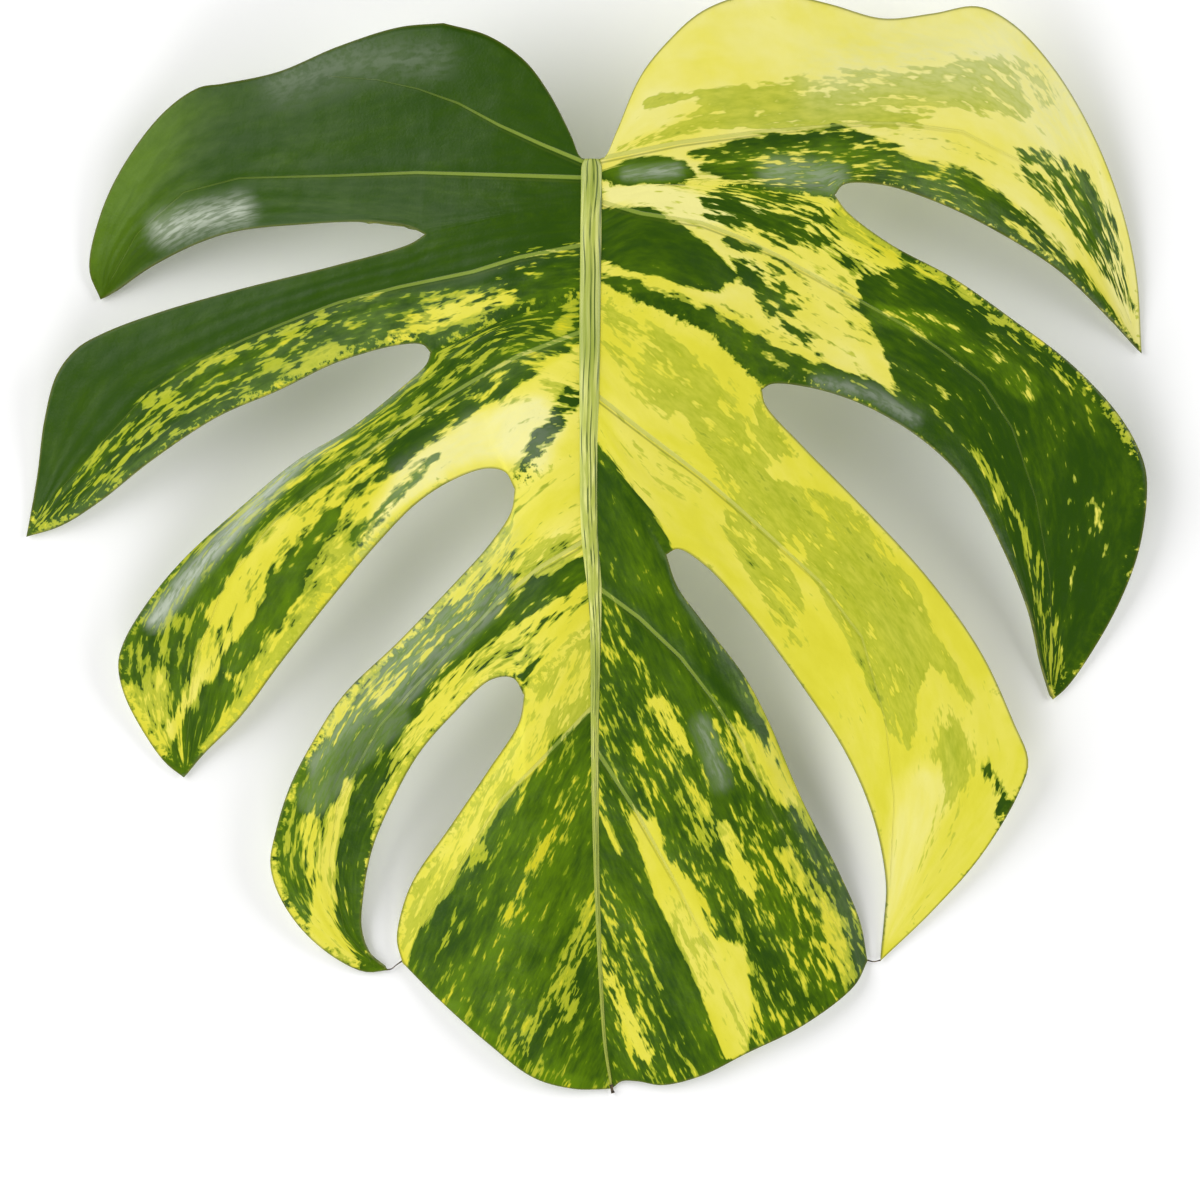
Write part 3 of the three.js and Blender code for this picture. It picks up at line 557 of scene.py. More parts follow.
# A mesh object from places and faces as they are, with one attribute for each array in values.
def newMesh(name, places, faces, smooth, materials, faceMaterials=None, values=None):
    mesh = bpy.data.meshes.new(name)
    mesh.from_pydata(places.tolist(), [], faces)
    mesh.polygons.foreach_set("use_smooth", smooth)
    for material in materials:
        mesh.materials.append(material)
    if faceMaterials is not None:
        mesh.polygons.foreach_set("material_index", faceMaterials)
    for key, array in (values or {}).items():
        kind = "FLOAT_VECTOR" if array.ndim == 2 else "FLOAT"
        layer = mesh.attributes.new(key, kind, "POINT")
        layer.data.foreach_set("vector" if array.ndim == 2 else "value", array.ravel())
    mesh.update()
    piece = bpy.data.objects.new(name, mesh)
    scene.collection.objects.link(piece)
    return piece


# Sums each triangle's normal onto its three corners, then makes every sum one long.
def cornerNormals(places, triangles):
    a, b, c = (places[triangles[:, k]] for k in range(3))
    facing = np.cross(b - a, c - a)
    normals = np.zeros_like(places)
    for k in range(3):
        np.add.at(normals, triangles[:, k], facing)
    return normals / (np.linalg.norm(normals, axis=1, keepdims=True) + 1e-12)


# Each round moves every free height to its edge neighbours' mean, weighted by one over the length.
def easeHeights(places, edges, fixed, rounds):
    a, b = edges.T
    heights = places[:, 2]
    weight = 1 / (np.linalg.norm(places[a, :2] - places[b, :2], axis=1) + 0.02)
    count = np.bincount(a, weight, len(heights)) + np.bincount(b, weight, len(heights))
    for _ in range(rounds):
        total = np.bincount(a, weight * heights[b], len(heights))
        total += np.bincount(b, weight * heights[a], len(heights))
        heights = np.where(fixed, heights, total / count)
    return heights


# One half of the blade: the lobes' grids joined along their shared lines, an underside moved in
# along the normals by the thickness and the ribs of the side veins, and a wall round the margin.
# Grooves and ribs are exp(-(gap / width)^2) of the gap to the nearest side vein.
def bladeHalf(name, lobeNames, leftSide, materials):
    grids = [lobeGrid(lobe) for lobe in lobeNames]
    quads = []
    ribs = []
    start = 0
    for number, (_, _, _, along, across) in enumerate(grids):
        index = start + np.arange(along.size).reshape(along.shape)
        corners = [index[:-1, :-1], index[:-1, 1:], index[1:, 1:], index[1:, :-1]]
        quads.append(np.stack(corners, -1).reshape(-1, 4))
        ribs.append((2 * number + 1 + across).ravel())
        start += along.size
    places = np.vstack([g[0].reshape(-1, 3) for g in grids])
    grain = np.vstack([g[1].reshape(-1, 3) for g in grids])
    seam = np.concatenate([g[2].ravel() for g in grids])
    along = np.concatenate([g[3].ravel() for g in grids])
    ribs = np.concatenate(ribs)
    keys = np.round(places[:, :2] * 100).astype(int)  # joins what is within a hundredth
    _, first, joined = np.unique(keys, axis=0, return_index=True, return_inverse=True)
    places, grain, seam = places[first], grain[first], seam[first]
    along, ribs = along[first], ribs[first]
    a, b, c, d = joined.reshape(-1)[np.vstack(quads)].T
    if not leftSide:
        b, d = d, b
    triangles = np.vstack([np.stack([a, b, c], 1), np.stack([a, c, d], 1)])
    distinct = (triangles[:, 0] != triangles[:, 1]) & (triangles[:, 1] != triangles[:, 2])
    distinct &= triangles[:, 2] != triangles[:, 0]
    triangles = triangles[distinct]

    total = len(places)
    edges = np.vstack([triangles[:, [0, 1]], triangles[:, [1, 2]], triangles[:, [2, 0]]])
    forward = edges[:, 0] * total + edges[:, 1]
    backward = edges[:, 1] * total + edges[:, 0]
    margin = edges[~np.isin(forward, backward)]
    pairs = np.unique(np.sort(edges, axis=1), axis=0)
    places[:, 2] = easeHeights(places, pairs, along < 1e-6, blade["smoothing"])

    flat = places[:, :2]
    veinGap = np.full(total, 1e9)
    veinSide = np.ones(total)
    veinRun = np.zeros(total)
    for line in sideVeins:
        gap, share, side = awayFrom(flat, line)
        nearer = gap < veinGap
        veinGap = np.where(nearer, gap, veinGap)
        veinSide = np.where(nearer, side, veinSide)
        veinRun = np.where(nearer, share, veinRun)
    edgeGap = marginDistance(flat, flat[np.unique(margin)], along)

    inland = smoothStep(0, blade["marginFade"], edgeGap)
    grooveWidth, grooveDepth = blade["groove"]
    places[:, 2] -= grooveDepth * np.exp(-(veinGap / grooveWidth) ** 2) * (1 - veinRun) * inland
    normals = cornerNormals(places, triangles)
    ribWidth, ribStart, ribEnd = blade["rib"]
    rib = np.exp(-(veinGap / ribWidth) ** 2) * (ribStart * (1 - veinRun) + ribEnd) * inland
    under = places - normals * (blade["thickness"] + rib)[:, None]
    under[:, 2] = np.maximum(under[:, 2], blade["lowest"])

    walls = np.stack([margin[:, 1], margin[:, 0], margin[:, 0] + total, margin[:, 1] + total], 1)
    faces = triangles.tolist() + (triangles[:, ::-1] + total).tolist() + walls.tolist()
    smooth = np.array([True] * (2 * len(triangles)) + [False] * len(walls))
    faceMaterials = np.repeat([0, 1, 2], [len(triangles), len(triangles), len(walls)])
    values = paintTones(flat)
    values["grain"] = grain
    values["seam"] = seam
    values["veinSide"] = veinGap * veinSide * (-1 if leftSide else 1)
    values["veinGap"] = veinGap
    values["veinRun"] = veinRun
    values["edgeGap"] = edgeGap
    values["ribs"] = ribs
    values = {key: np.concatenate([array, array]) for key, array in values.items()}
    shifted = (np.vstack([places, under]) + [*blade["shift"], 0]) * mm
    print(name, len(faces), "faces")
    return newMesh(name, shifted, faces, smooth, materials, faceMaterials, values)


# Distance to the nearest corner of the margin, at most the inland gap, which the midrib's line has
# too. It is worked out in blocks to save memory.
def marginDistance(flat, marginPoints, along, block=2000):
    gaps = []
    for start in range(0, len(flat), block):
        part = flat[start:start + block]
        gaps.append(np.sqrt(np.min(np.sum((part[:, None] - marginPoints[None]) ** 2, -1), 1)))
    gaps = np.concatenate(gaps)
    return np.where(along < 1e-6, blade["inland"], np.minimum(gaps, blade["inland"]))


# A tube: rings of x = halfWidth cos(turn), y = above or below times sin(turn), carried along a line
# with x kept level. halfWidth, above and below give the ring's reach at each share of the line. Each
# end is closed by a narrow ring of quads, shrunk towards its middle by inset, and a fan.
def carriedTube(name, line, steps, sides, halfWidth, above, below, materials, capSlot=0, lumps=None,
                inset=0.93):
    share = np.linspace(0, 1, steps + 1)
    centre = alongCurve(line, share)
    along = np.gradient(centre, axis=0)
    along /= np.linalg.norm(along, axis=1, keepdims=True)
    sideways = np.cross(along, [0, 0, 1])
    if abs(along[:, 2]).max() > 0.9:  # a line that turns upright keeps to the X axis instead
        sideways = np.tile([1.0, 0, 0], (len(share), 1))
        sideways -= along * np.sum(along * sideways, 1, keepdims=True)
    sideways /= np.linalg.norm(sideways, axis=1, keepdims=True)
    upward = np.cross(sideways, along)
    turn = np.linspace(0, 2 * np.pi, sides, endpoint=False)
    reach = np.where(np.sin(turn) > 0, above(share)[:, None], below(share)[:, None])
    scale = 1 if lumps is None else lumps(share[:, None], turn[None])
    x = halfWidth(share)[:, None] * np.cos(turn) * scale
    y = reach * np.sin(turn) * scale
    rings = centre[:, None] + x[..., None] * sideways[:, None] + y[..., None] * upward[:, None]
    ends = rings[[0, -1]]
    middles = centre[[0, -1]][:, None]
    insets = middles + (ends - middles) * inset
    places = np.vstack([np.vstack([*rings, *insets]), *middles])
    index = np.arange((len(share) + 2) * sides).reshape(-1, sides)
    first, last, firstIn, lastIn = index[[0, -3, -2, -1]]
    nextOf = np.roll(index, -1, axis=1)
    rows = [(index[:-3], index[1:-2], nextOf[1:-2], nextOf[:-3]),
            (first, nextOf[0], nextOf[-2], firstIn),
            (lastIn, nextOf[-1], nextOf[-3], last)]
    quads = np.vstack([np.stack(corners, -1).reshape(-1, 4) for corners in rows])
    firstMiddle = np.full(sides, index.size)
    fans = np.vstack([np.stack([firstIn, nextOf[-2], firstMiddle], -1),
                      np.stack([firstMiddle + 1, nextOf[-1], lastIn], -1)])
    kinds = np.repeat([0, capSlot], [len(quads), len(fans)])
    values = {
        "share": np.concatenate([np.repeat([*share, 0, 1], sides), [0, 1]]),
        "turn": np.concatenate([np.tile(np.cos(turn), len(share) + 2), [0, 0]]),
    }
    shifted = (places + [*blade["shift"], 0]) * mm
    print(name, len(kinds), "faces")
    return newMesh(name, shifted, quads.tolist() + fans.tolist(), np.full(len(kinds), True), materials,
                   kinds, values)


# A colour given as on screen, 0 to 255, as the linear values that a socket takes.
def shade(red, green, blue):
    values = [c / 255 for c in (red, green, blue)]
    return tuple(c / 12.92 if c <= 0.04045 else ((c + 0.055) / 1.055) ** 2.4 for c in values) + (1,)


# A node with its settings, and each input linked where it is given a socket or else set.
def addNode(tree, kind, inputs, **settings):
    node = tree.nodes.new(kind)
    for key, value in settings.items():
        setattr(node, key, value)
    for key, value in inputs.items():
        if isinstance(value, bpy.types.NodeSocket):
            tree.links.new(value, node.inputs[key])
        else:
            node.inputs[key].default_value = value
    return node


# Noise from 0 to 1, with scale counts of it to a unit of the vector.
def noiseOf(tree, vector, scale, detail=2.0, roughness=0.5):
    inputs = {"Vector": vector, "Scale": scale, "Detail": detail, "Roughness": roughness}
    return addNode(tree, "ShaderNodeTexNoise", inputs).outputs["Fac"]


# One arithmetic step, as the Math node names it.
def calculate(tree, operation, a, b=0.0, c=0.0):
    return addNode(tree, "ShaderNodeMath", {0: a, 1: b, 2: c}, operation=operation).outputs[0]


# Goes from outLow to outHigh as the value goes from low to high, and stays there beyond.
def rampBetween(tree, value, low, high, outLow=0.0, outHigh=1.0, kind="SMOOTHSTEP"):
    inputs = {"Value": value, "From Min": low, "From Max": high, "To Min": outLow, "To Max": outHigh}
    return addNode(tree, "ShaderNodeMapRange", inputs, interpolation_type=kind).outputs[0]


# (1 - share) a + share b.
def mixColour(tree, share, a, b):
    return addNode(tree, "ShaderNodeMix", {0: share, 6: a, 7: b}, data_type="RGBA").outputs[2]


# A shader node group's tree, the sockets that bring its inputs in and those that take its results.
def newGroup(name, inputs, outputs):
    tree = bpy.data.node_groups.new(name, "ShaderNodeTree")
    for label, kind, value in inputs:
        socket = tree.interface.new_socket(label, in_out="INPUT", socket_type="NodeSocket" + kind)
        if value is not None:
            socket.default_value = value
    for label, kind in outputs:
        tree.interface.new_socket(label, in_out="OUTPUT", socket_type="NodeSocket" + kind)
    return tree, tree.nodes.new("NodeGroupInput").outputs, tree.nodes.new("NodeGroupOutput").inputs


# The outputs of a group placed in a tree with its inputs linked or set.
def placeGroup(tree, group, inputs):
    return addNode(tree, "ShaderNodeGroup", inputs, node_tree=group).outputs


# One of the values that the mesh carries at its vertices.
def attribute(tree, name, output="Fac"):
    return addNode(tree, "ShaderNodeAttribute", {}, attribute_name=name).outputs[output]


# Noise drawn out along the grain: noise of the grain's two distances, with the one along shortened
# by Stretch, and plain noise of the place itself within a few millimetres of the lines between lobes.
def makeStreakGroup():
    tree, given, result = newGroup(
        "streaks",
        [("Vector", "Vector", None), ("Grain", "Vector", None), ("Seam", "Float", 9.0),
         ("Period", "Float", 6.0), ("Stretch", "Float", 3.0), ("Detail", "Float", 4.0)],
        [("Value", "Float")])
    parts = addNode(tree, "ShaderNodeSeparateXYZ", {0: given["Grain"]}).outputs
    shortened = calculate(tree, "DIVIDE", parts[0], given["Stretch"])
    vector = addNode(tree, "ShaderNodeCombineXYZ", {0: shortened, 1: parts[1], 2: parts[2]}).outputs[0]
    scale = calculate(tree, "DIVIDE", 1.0, given["Period"])
    drawn = noiseOf(tree, vector, scale, given["Detail"], 0.62)
    plainScale = calculate(tree, "MULTIPLY", scale, 800.0)
    plain = noiseOf(tree, given["Vector"], plainScale, given["Detail"], 0.62)
    inside = rampBetween(tree, given["Seam"], 0.5, 3.5)
    mixed = addNode(tree, "ShaderNodeMix", {0: inside, 2: plain, 3: drawn}).outputs[0]
    tree.links.new(rampBetween(tree, mixed, 0.3, 0.7, kind="LINEAR"), result["Value"])
    return tree


# Leaf colour: coarse and fine streaks push the painted share of green over or under one half, which
# draws the ragged borders and specks between the dark green, the middle green and the yellow. The
# yellow turns lime in patches, and more so in its specks among the green.
def makeTissueGroup(streaks):
    tree, given, result = newGroup(
        "leafTissue",
        [("Vector", "Vector", None), ("Grain", "Vector", None), ("Seam", "Float", 9.0),
         ("Green", "Float", 0.5), ("Fleck", "Float", 0.5), ("Cream", "Float", 0.4),
         ("Lime", "Float", 0.4), ("Deep", "Float", 0.7)],
        [("Color", "Color"), ("Green mask", "Float"), ("Fine", "Float")])
    base = {"Vector": given["Vector"], "Grain": given["Grain"], "Seam": given["Seam"]}
    coarse = placeGroup(tree, streaks, {**base, "Period": 5.0, "Stretch": 4.6, "Detail": 3.0})["Value"]
    fine = placeGroup(tree, streaks, {**base, "Period": 1.35, "Stretch": 4.0, "Detail": 2.0})["Value"]
    wide = placeGroup(tree, streaks, {**base, "Period": 14.0, "Stretch": 2.5, "Detail": 4.0})["Value"]
    mixed = calculate(tree, "ADD", calculate(tree, "MULTIPLY", coarse, 0.46),
                      calculate(tree, "MULTIPLY", fine, 0.54))
    swing = calculate(tree, "MULTIPLY_ADD", given["Fleck"], 2.1, 0.1)
    amount = calculate(tree, "MULTIPLY_ADD", calculate(tree, "SUBTRACT", mixed, 0.5), swing, given["Green"])
    dark = rampBetween(tree, amount, 0.45, 0.54)
    middle = rampBetween(tree, amount, 0.24, 0.42)
    paleness = calculate(tree, "MULTIPLY_ADD", calculate(tree, "SUBTRACT", wide, 0.5), 0.4, given["Cream"])
    ramp = addNode(tree, "ShaderNodeValToRGB", {"Fac": paleness})
    stops = [(0.1, shade(208, 202, 38)), (0.45, shade(222, 216, 64)), (0.7, shade(232, 224, 98)),
             (1.0, shade(238, 232, 146))]
    while len(ramp.color_ramp.elements) < len(stops):
        ramp.color_ramp.elements.new(0.5)
    for element, (position, colour) in zip(ramp.color_ramp.elements, stops):
        element.position = position
        element.color = colour
    ragged = calculate(tree, "MULTIPLY_ADD", calculate(tree, "SUBTRACT", mixed, 0.5), 0.9, given["Lime"])
    ragged = calculate(tree, "MULTIPLY_ADD", calculate(tree, "SUBTRACT", wide, 0.5), 0.5, ragged)
    ragged = calculate(tree, "MULTIPLY_ADD", given["Green"], 0.3, ragged)
    limeShare = rampBetween(tree, ragged, 0.42, 0.58, 0.0, 0.84)
    limeColour = mixColour(tree, fine, shade(152, 168, 26), shade(192, 196, 58))
    yellow = mixColour(tree, limeShare, ramp.outputs[0], limeColour)
    spread = calculate(tree, "ADD", wide, calculate(tree, "MULTIPLY", mixed, 1.3))
    play = calculate(tree, "MULTIPLY_ADD", given["Fleck"], 0.5, 0.12)
    depth = calculate(tree, "MULTIPLY_ADD", calculate(tree, "SUBTRACT", spread, 1.15), play, given["Deep"])
    greenColour = mixColour(tree, rampBetween(tree, depth, 0.0, 1.0), shade(94, 128, 2),
                            shade(40, 72, 0))
    middleColour = mixColour(tree, fine, shade(104, 134, 12), shade(144, 160, 36))
    colour = mixColour(tree, calculate(tree, "MULTIPLY", middle, 0.75), yellow, middleColour)
    colour = mixColour(tree, dark, colour, greenColour)
    tree.links.new(colour, result["Color"])
    tree.links.new(dark, result["Green mask"])
    tree.links.new(fine, result["Fine"])
    return tree


# Heights in millimetres: fine ribs beside the side veins, a dent along each vein and small cells.
def makeReliefGroup():
    tree, given, result = newGroup(
        "leafRelief",
        [("Vector", "Vector", None), ("Ribs", "Float", 0.0), ("Seam", "Float", 9.0),
         ("Vein", "Float", 0.0), ("Cells", "Float", 0.02)],
        [("Height", "Float")])
    wave = calculate(tree, "SINE", calculate(tree, "MULTIPLY", given["Ribs"], 2 * math.pi * 3.5))
    cells = addNode(tree, "ShaderNodeTexVoronoi", {"Vector": given["Vector"], "Scale": 1400.0},
                    feature="SMOOTH_F1").outputs["Distance"]
    swell = noiseOf(tree, given["Vector"], 70.0)
    height = calculate(tree, "MULTIPLY", wave, rampBetween(tree, given["Seam"], 1.0, 8.0, 0.0, 0.05))
    height = calculate(tree, "MULTIPLY_ADD", swell, 0.9, height)
    height = calculate(tree, "MULTIPLY_ADD", cells, given["Cells"], height)
    height = calculate(tree, "MULTIPLY_ADD", given["Vein"], -0.12, height)
    tree.links.new(height, result["Height"])
    return tree


# The marks on the tissue: a pale line along each side vein that thins out with its run, a painted
# shadow to one side of it, painted sheen (pale patches that stand in for reflections of the lights)
# broken up by the fine streaks, and a browned edge. Under, from 0 to 1, makes the tissue pale and the
# veins broad.
def makeMarksGroup():
    tree, given, result = newGroup(
        "leafMarks",
        [("Color", "Color", None), ("Green mask", "Float", 0.5), ("Fine", "Float", 0.5),
         ("Vein side", "Float", 9.0), ("Vein gap", "Float", 9.0), ("Vein run", "Float", 0.5),
         ("Edge gap", "Float", 9.0), ("Painted sheen", "Float", 0.0), ("Under", "Float", 0.0)],
        [("Color", "Color"), ("Vein", "Float")])
    run = given["Vein run"]
    halfLine = rampBetween(tree, run, 0.0, 0.9, 0.55, 0.14, "LINEAR")
    beside = calculate(tree, "DIVIDE", calculate(tree, "ABSOLUTE", given["Vein side"]), halfLine)
    line = rampBetween(tree, beside, 0.7, 1.3, 1.0, 0.0)
    close = rampBetween(tree, given["Vein gap"], 1.0, 2.5, 1.0, 0.0)
    vein = calculate(tree, "MULTIPLY", line, close)
    veinShow = calculate(tree, "MULTIPLY", vein, rampBetween(tree, run, 0.1, 0.8, 0.8, 0.12))
    veinColour = mixColour(tree, given["Green mask"], shade(196, 198, 100), shade(142, 162, 62))
    colour = mixColour(tree, veinShow, given["Color"], veinColour)
    shadow = calculate(tree, "SUBTRACT", given["Vein side"], calculate(tree, "MULTIPLY", halfLine, -2.2))
    shadow = rampBetween(tree, calculate(tree, "ABSOLUTE", shadow), 0.0, 0.45, 0.55, 0.0)
    shadow = calculate(tree, "MULTIPLY", shadow, rampBetween(tree, run, 0.1, 0.8, 1.0, 0.0))
    colour = mixColour(tree, shadow, colour, shade(70, 92, 14))
    # Painted sheen: pale patches that stand in for reflections of the lights, broken up by the fine streaks.
    paintedGlints = rampBetween(tree, given["Fine"], 0.2, 0.8, 0.55, 1.3)
    colour = mixColour(tree, calculate(tree, "MULTIPLY", given["Painted sheen"], paintedGlints), colour,
                       shade(206, 214, 196))
    colour = mixColour(tree, calculate(tree, "MULTIPLY", given["Under"], 0.42), colour,
                       shade(190, 204, 140))
    broad = rampBetween(tree, given["Vein gap"], 0.5, 1.5, 0.8, 0.0)
    colour = mixColour(tree, calculate(tree, "MULTIPLY", given["Under"], broad), colour,
                       shade(196, 208, 128))
    rim = rampBetween(tree, given["Edge gap"], 0.15, 0.75, 0.65, 0.0)
    colour = mixColour(tree, rim, colour, shade(96, 104, 34))
    tree.links.new(colour, result["Color"])
    tree.links.new(vein, result["Vein"])
    return tree


# Noise squeezed across and drawn out along the Y axis, for the fibres of midrib and stalk.
def makeFibreGroup():
    tree, given, result = newGroup(
        "fibres",
        [("Vector", "Vector", None), ("Across", "Float", 900.0), ("Along", "Float", 40.0),
         ("Detail", "Float", 2.0)],
        [("Value", "Float")])
    scales = addNode(tree, "ShaderNodeCombineXYZ",
                     {0: given["Across"], 1: given["Along"], 2: given["Across"]}).outputs[0]
    drawn = addNode(tree, "ShaderNodeVectorMath", {0: given["Vector"], 1: scales}, operation="MULTIPLY")
    tree.links.new(noiseOf(tree, drawn.outputs[0], 1.0, given["Detail"]), result["Value"])
    return tree


# Two colours mottled by noise.
def makeMottleGroup():
    tree, given, result = newGroup(
        "mottle",
        [("Vector", "Vector", None), ("Scale", "Float", 300.0), ("Dark", "Color", None),
         ("Light", "Color", None)],
        [("Color", "Color"), ("Value", "Float")])
    noise = noiseOf(tree, given["Vector"], given["Scale"])
    colour = mixColour(tree, rampBetween(tree, noise, 0.4, 0.6), given["Dark"], given["Light"])
    tree.links.new(colour, result["Color"])
    tree.links.new(noise, result["Value"])
    return tree


# A material, its tree, its shader and the place on the piece that its patterns read.
def newMaterial(name, roughness, specular=0.5):
    material = bpy.data.materials.new(name)
    material.use_nodes = True
    tree = material.node_tree
    shader = tree.nodes["Principled BSDF"]
    shader.inputs["Roughness"].default_value = roughness
    shader.inputs["Specular IOR Level"].default_value = specular
    return material, tree, shader, addNode(tree, "ShaderNodeTexCoord", {}).outputs["Object"]


# The bump's slope is that of heights in millimetres.
def addBump(tree, shader, height):
    bump = addNode(tree, "ShaderNodeBump", {"Height": height, "Distance": mm, "Strength": 1.0})
    tree.links.new(bump.outputs[0], shader.inputs["Normal"])


streakGroup = makeStreakGroup()
tissueGroup = makeTissueGroup(streakGroup)
marksGroup = makeMarksGroup()
reliefGroup = makeReliefGroup()
fibreGroup = makeFibreGroup()
mottleGroup = makeMottleGroup()


# Tissue, then the marks on it. under is 0 for the upper side and 1 for the paler, duller underside.
def makeBladeMaterial(name, under, roughness, cells):
    material, tree, shader, place = newMaterial(name, roughness, 0.2)
    seam = attribute(tree, "seam")
    tissue = placeGroup(tree, tissueGroup, {
        "Vector": place, "Grain": attribute(tree, "grain", "Vector"), "Seam": seam,
        "Green": attribute(tree, "green"), "Fleck": attribute(tree, "fleck"),
        "Cream": attribute(tree, "cream"), "Lime": attribute(tree, "lime"),
        "Deep": attribute(tree, "deep")})
    # On the upper side the marks carry the painted sheen, pale patches that stand in for reflections; the
    # underside gets none.
    marks = placeGroup(tree, marksGroup, {
        "Color": tissue["Color"], "Green mask": tissue["Green mask"], "Fine": tissue["Fine"],
        "Vein side": attribute(tree, "veinSide"), "Vein gap": attribute(tree, "veinGap"),
        "Vein run": attribute(tree, "veinRun"), "Edge gap": attribute(tree, "edgeGap"),
        "Painted sheen": 0.0 if under else attribute(tree, "bloom"), "Under": under})
    tree.links.new(marks["Color"], shader.inputs["Base Color"])
    rough = rampBetween(tree, tissue["Fine"], 0.0, 1.0, roughness - 0.04, roughness + 0.05, "LINEAR")
    tree.links.new(rough, shader.inputs["Roughness"])
    relief = placeGroup(tree, reliefGroup, {
        "Vector": place, "Ribs": attribute(tree, "ribs"), "Seam": seam, "Vein": marks["Vein"],
        "Cells": cells})
    addBump(tree, shader, relief["Height"])
    return material


bladeTop = makeBladeMaterial("bladeTop", 0.0, 0.37, 0.035)
bladeUnder = makeBladeMaterial("bladeUnder", 1.0, 0.52, 0.05)


# Mottled all over, with the mottle as relief where bump is above 0.
def makeMottledMaterial(name, roughness, scale, dark, light, bump):
    material, tree, shader, place = newMaterial(name, roughness)
    mottle = placeGroup(tree, mottleGroup, {"Vector": place, "Scale": scale, "Dark": dark, "Light": light})
    tree.links.new(mottle["Color"], shader.inputs["Base Color"])
    if bump > 0:
        addBump(tree, shader, calculate(tree, "MULTIPLY", mottle["Value"], bump))
    return material


# The pale midrib: cream and olive fibres, with thin dark green lines that wander along it.
def makeMidribMaterial():
    material, tree, shader, place = newMaterial("midribPale", 0.38)
    fibres = placeGroup(tree, fibreGroup, {"Vector": place, "Across": 900.0, "Along": 40.0})["Value"]
    wander = noiseOf(tree, place, 30.0, 1.0)
    colour = mixColour(tree, rampBetween(tree, fibres, 0.35, 0.7), shade(180, 190, 82), shade(224, 226, 134))
    lower = rampBetween(tree, attribute(tree, "share"), 0.45, 1.0, 0.0, 0.6)
    colour = mixColour(tree, lower, colour, shade(164, 168, 44))
    colour = mixColour(tree, rampBetween(tree, wander, 0.44, 0.62, 0.0, 0.65), colour, shade(146, 162, 58))
    aside = calculate(tree, "SUBTRACT", wander, 0.5)
    shifted = calculate(tree, "MULTIPLY_ADD", aside, 1.6, attribute(tree, "turn"))
    lines = 0.0
    for at, half in ((-0.86, 0.1), (-0.34, 0.07), (0.02, 0.1), (0.6, 0.06)):
        gap = calculate(tree, "ABSOLUTE", calculate(tree, "SUBTRACT", shifted, at))
        line = rampBetween(tree, gap, half * 0.6, half * 1.5, 1.0, 0.0)
        lines = calculate(tree, "MAXIMUM", lines, line)
    broken = rampBetween(tree, fibres, 0.38, 0.56, 0.1, 0.9)
    colour = mixColour(tree, calculate(tree, "MULTIPLY", lines, broken), colour, shade(66, 92, 14))
    tree.links.new(colour, shader.inputs["Base Color"])
    addBump(tree, shader, calculate(tree, "MULTIPLY", fibres, 0.25))
    return material


# Green and pale fibres, paler at the knee.
def makeStalkMaterial():
    material, tree, shader, place = newMaterial("stalkGreen", 0.42)
    fibres = placeGroup(tree, fibreGroup,
                        {"Vector": place, "Across": 600.0, "Along": 50.0, "Detail": 3.0})["Value"]
    colour = mixColour(tree, rampBetween(tree, fibres, 0.4, 0.62), shade(98, 128, 42), shade(178, 190, 96))
    knee = rampBetween(tree, attribute(tree, "share"), 0.12, 0.3, 0.7, 0.0)
    colour = mixColour(tree, knee, colour, shade(150, 166, 84))
    tree.links.new(colour, shader.inputs["Base Color"])
    addBump(tree, shader, calculate(tree, "MULTIPLY", fibres, 0.5))
    return material


# Pale flesh with darker dots where the fibres are cut through.
def makeCutMaterial():
    material, tree, shader, place = newMaterial("cutFace", 0.6)
    dots = addNode(tree, "ShaderNodeTexVoronoi", {"Vector": place, "Scale": 1100.0}).outputs["Distance"]
    colour = mixColour(tree, rampBetween(tree, dots, 0.15, 0.35), shade(150, 160, 92), shade(222, 224, 178))
    tree.links.new(colour, shader.inputs["Base Color"])
    addBump(tree, shader, calculate(tree, "MULTIPLY", dots, 0.3))
    return material


bladeRim = makeMottledMaterial("bladeRim", 0.5, 300.0, shade(84, 98, 30), shade(126, 132, 52), 0)
midribPale = makeMidribMaterial()
stalkGreen = makeStalkMaterial()
cutFace = makeCutMaterial()
dryTissue = makeMottledMaterial("dryTissue", 0.75, 900.0, shade(44, 36, 24), shade(96, 78, 44), 0.3)
print("materials ready")

# The outline's middle goes where the CAD blade has its own.
low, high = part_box("leaf_blade")
outline = np.vstack([lobeGrid(name)[0][:, :, :2].reshape(-1, 2) for name in lobes])
middle = (outline.min(0) + outline.max(0)) / 2
blade["shift"] = [(low[0] + high[0]) / 2 / mm - middle[0], (low[1] + high[1]) / 2 / mm - middle[1]]

leftNames = [name for name in lobes if name.startswith("left")]
rightNames = [name for name in lobes if name.startswith("right")]
bladeMaterials = [bladeTop, bladeUnder, bladeRim]
leftBlade = bladeHalf("bladeLeft", leftNames, True, bladeMaterials)
rightBlade = bladeHalf("bladeRight", rightNames, False, bladeMaterials)

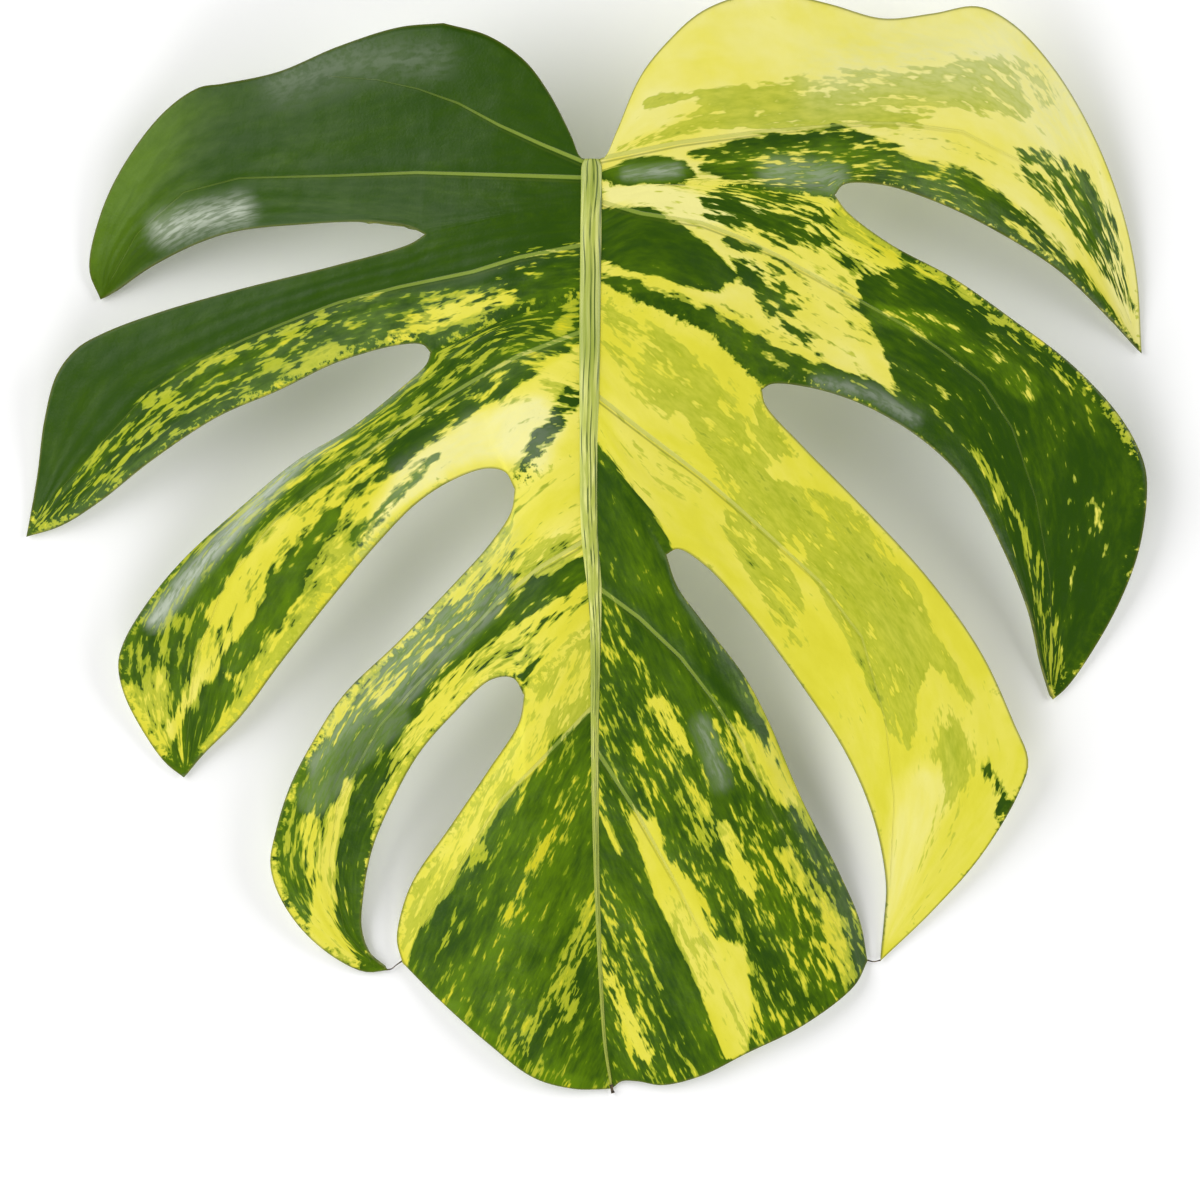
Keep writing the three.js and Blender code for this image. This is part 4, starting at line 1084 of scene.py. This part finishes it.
# The midrib band's width, its depth below and its height above its line, by the place along Y.
midrib = {
    "rise": 0.85,  # its line's height above the arch
    "rounding": (0.012, 0.75),  # share of its length that the round end takes, and how round it is
    "width": [(103, 5.6), (60, 5.6), (26, 5.0), (-4, 4.4), (-14, 3.6), (-25, 3.0), (-41, 2.4),
              (-68, 2.0), (-95, 1.5), (-122, 1.1), (-136, 0.9), (-146.5, 0.6)],
    "keel": [(103, 5.2), (60, 4.8), (0, 3.6), (-60, 2.2), (-110, 1.2), (-146.5, 0.5)],
    "ridge": [(103, 0.95), (0, 0.85), (-60, 0.6), (-146.5, 0.3)],
}
ribShares = np.linspace(0, 1, 60)
ribPlan = alongCurve(blade["midrib"], ribShares)
ribLine = [(x, y, float(between(blade["arch"], y)) + midrib["rise"]) for x, y in ribPlan]


# One of the midrib's measures as a function of the share of its length.
def ribValue(key):
    return lambda share: between(midrib[key], np.interp(share, ribShares, ribPlan[:, 1]))


# Half the width, times sqrt(1 - v^2) at the upper end, where v falls from the rounding to 0.
def ribReach(share):
    reach, rounding = midrib["rounding"]
    v = rounding * (1 - np.clip(share / reach, 0, 1))
    return ribValue("width")(share) / 2 * np.sqrt(1 - v ** 2)


midribPiece = carriedTube("midribBand", ribLine, 400, 28, ribReach, ribValue("ridge"), ribValue("keel"),
                          [midribPale])

stalk = {
    "line": [(1.6, 92, 33.5), (1.6, 96.4, 31), (1.7, 96.9, 26.5), (1.8, 92.5, 19.6), (2, 84, 16),
             (2.5, 62, 11.6), (3.2, 34, 7), (4, 10, 5.2), (4.6, -14, 5)],
    "radius": 4.8,
    "kneeRadius": 5.4,
    "kneeFade": (0.22, 0.3),  # shares of its length between which the knee ends
    "wrinkles": 9,
}


# Round, with shallow lengthwise ridges, and rings of wrinkles round the knee.
def stalkLumps(share, turn):
    ridges = 0.02 * np.cos(9 * turn) + 0.012 * np.cos(5 * turn + 1)
    fade, end = stalk["kneeFade"]
    knee = smoothStep(0.02, 0.06, share) * (1 - smoothStep(fade, end, share))
    rings = share / end * stalk["wrinkles"] * 2 * np.pi
    return 1 + ridges + 0.05 * knee * np.sin(rings + 0.8 * np.cos(turn))


# The knee's radius, easing to the stalk's own.
def stalkReach(share):
    return stalk["kneeRadius"] + (stalk["radius"] - stalk["kneeRadius"]) * smoothStep(0.15, 0.35, share)


stalkPiece = carriedTube("stalk", stalk["line"], 220, 40, stalkReach, stalkReach, stalkReach,
                         [stalkGreen, cutFace], 1, stalkLumps)

# Dried ends: the apex, and the threads that still join two lobes over their slots, each as its line
# and radius.
dryParts = {
    "dryApex": ([(6.8, -145.4, 1.3), (7, -146.6, 1.2), (7.3, -147.6, 1)], 0.55),
    "dryThreadLeft": ([(-54, -114.4, 1), (-52.6, -114.2, 1.1), (-51, -113, 1.1), (-49.6, -112, 1.2)],
                      0.22),
    "dryThreadRight": ([(76, -111.8, 1.1), (77.6, -112.2, 1), (79.6, -111.8, 1)], 0.22),
}


# A third thinner at the middle of its length.
def dryReach(radius):
    return lambda share: radius * (1 - 0.35 * np.sin(np.pi * share))


dryPieces = [carriedTube(name, line, 24, 10, dryReach(radius), dryReach(radius), dryReach(radius),
                         [dryTissue]) for name, (line, radius) in dryParts.items()]

for piece in [leftBlade, rightBlade, midribPiece, *dryPieces]:
    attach(piece, "root")
    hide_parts("leaf_blade")
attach(stalkPiece, "root")
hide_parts("petiole")
print("pieces placed")


# Each light: its name, place, size and power; all of them face the middle of the leaf.
studio = {
    "floor": 6.0,
    "floorGlow": 0.12,
    "world": 0.14,
    "lights": [
        ("keyLight", (-1.75, 0.7, 1.3), 2.4, 55),
        ("fillRight", (1.9, 0.5, 1.0), 1.5, 31),
        ("fillFront", (-0.4, -2.1, 1.0), 1.5, 33),
    ],
}

floor = newMesh("floor", np.array([[-1, -1, 0], [1, -1, 0], [1, 1, 0], [-1, 1, 0]]) * studio["floor"] / 2,
                [[0, 1, 2, 3]], np.array([False]), [])
floorMaterial, _, floorShader, _ = newMaterial("floorPaper", 0.9, 0.1)
floorShader.inputs["Base Color"].default_value = shade(245, 245, 245)
floorShader.inputs["Emission Color"].default_value = (1, 1, 1, 1)
floorShader.inputs["Emission Strength"].default_value = studio["floorGlow"]
floor.data.materials.append(floorMaterial)

for name, place, size, power in studio["lights"]:
    light = bpy.data.objects.new(name, bpy.data.lights.new(name, "AREA"))
    light.data.size = size
    light.data.energy = power
    light.location = place
    light.rotation_euler = (-Vector(place)).to_track_quat("-Z", "Y").to_euler()
    scene.collection.objects.link(light)

world = bpy.data.worlds.new("studioAir")
world.use_nodes = True
sky = world.node_tree.nodes["Background"]
sky.inputs["Color"].default_value = (1, 1, 1, 1)
sky.inputs["Strength"].default_value = studio["world"]
scene.world = world
print("lights ready")
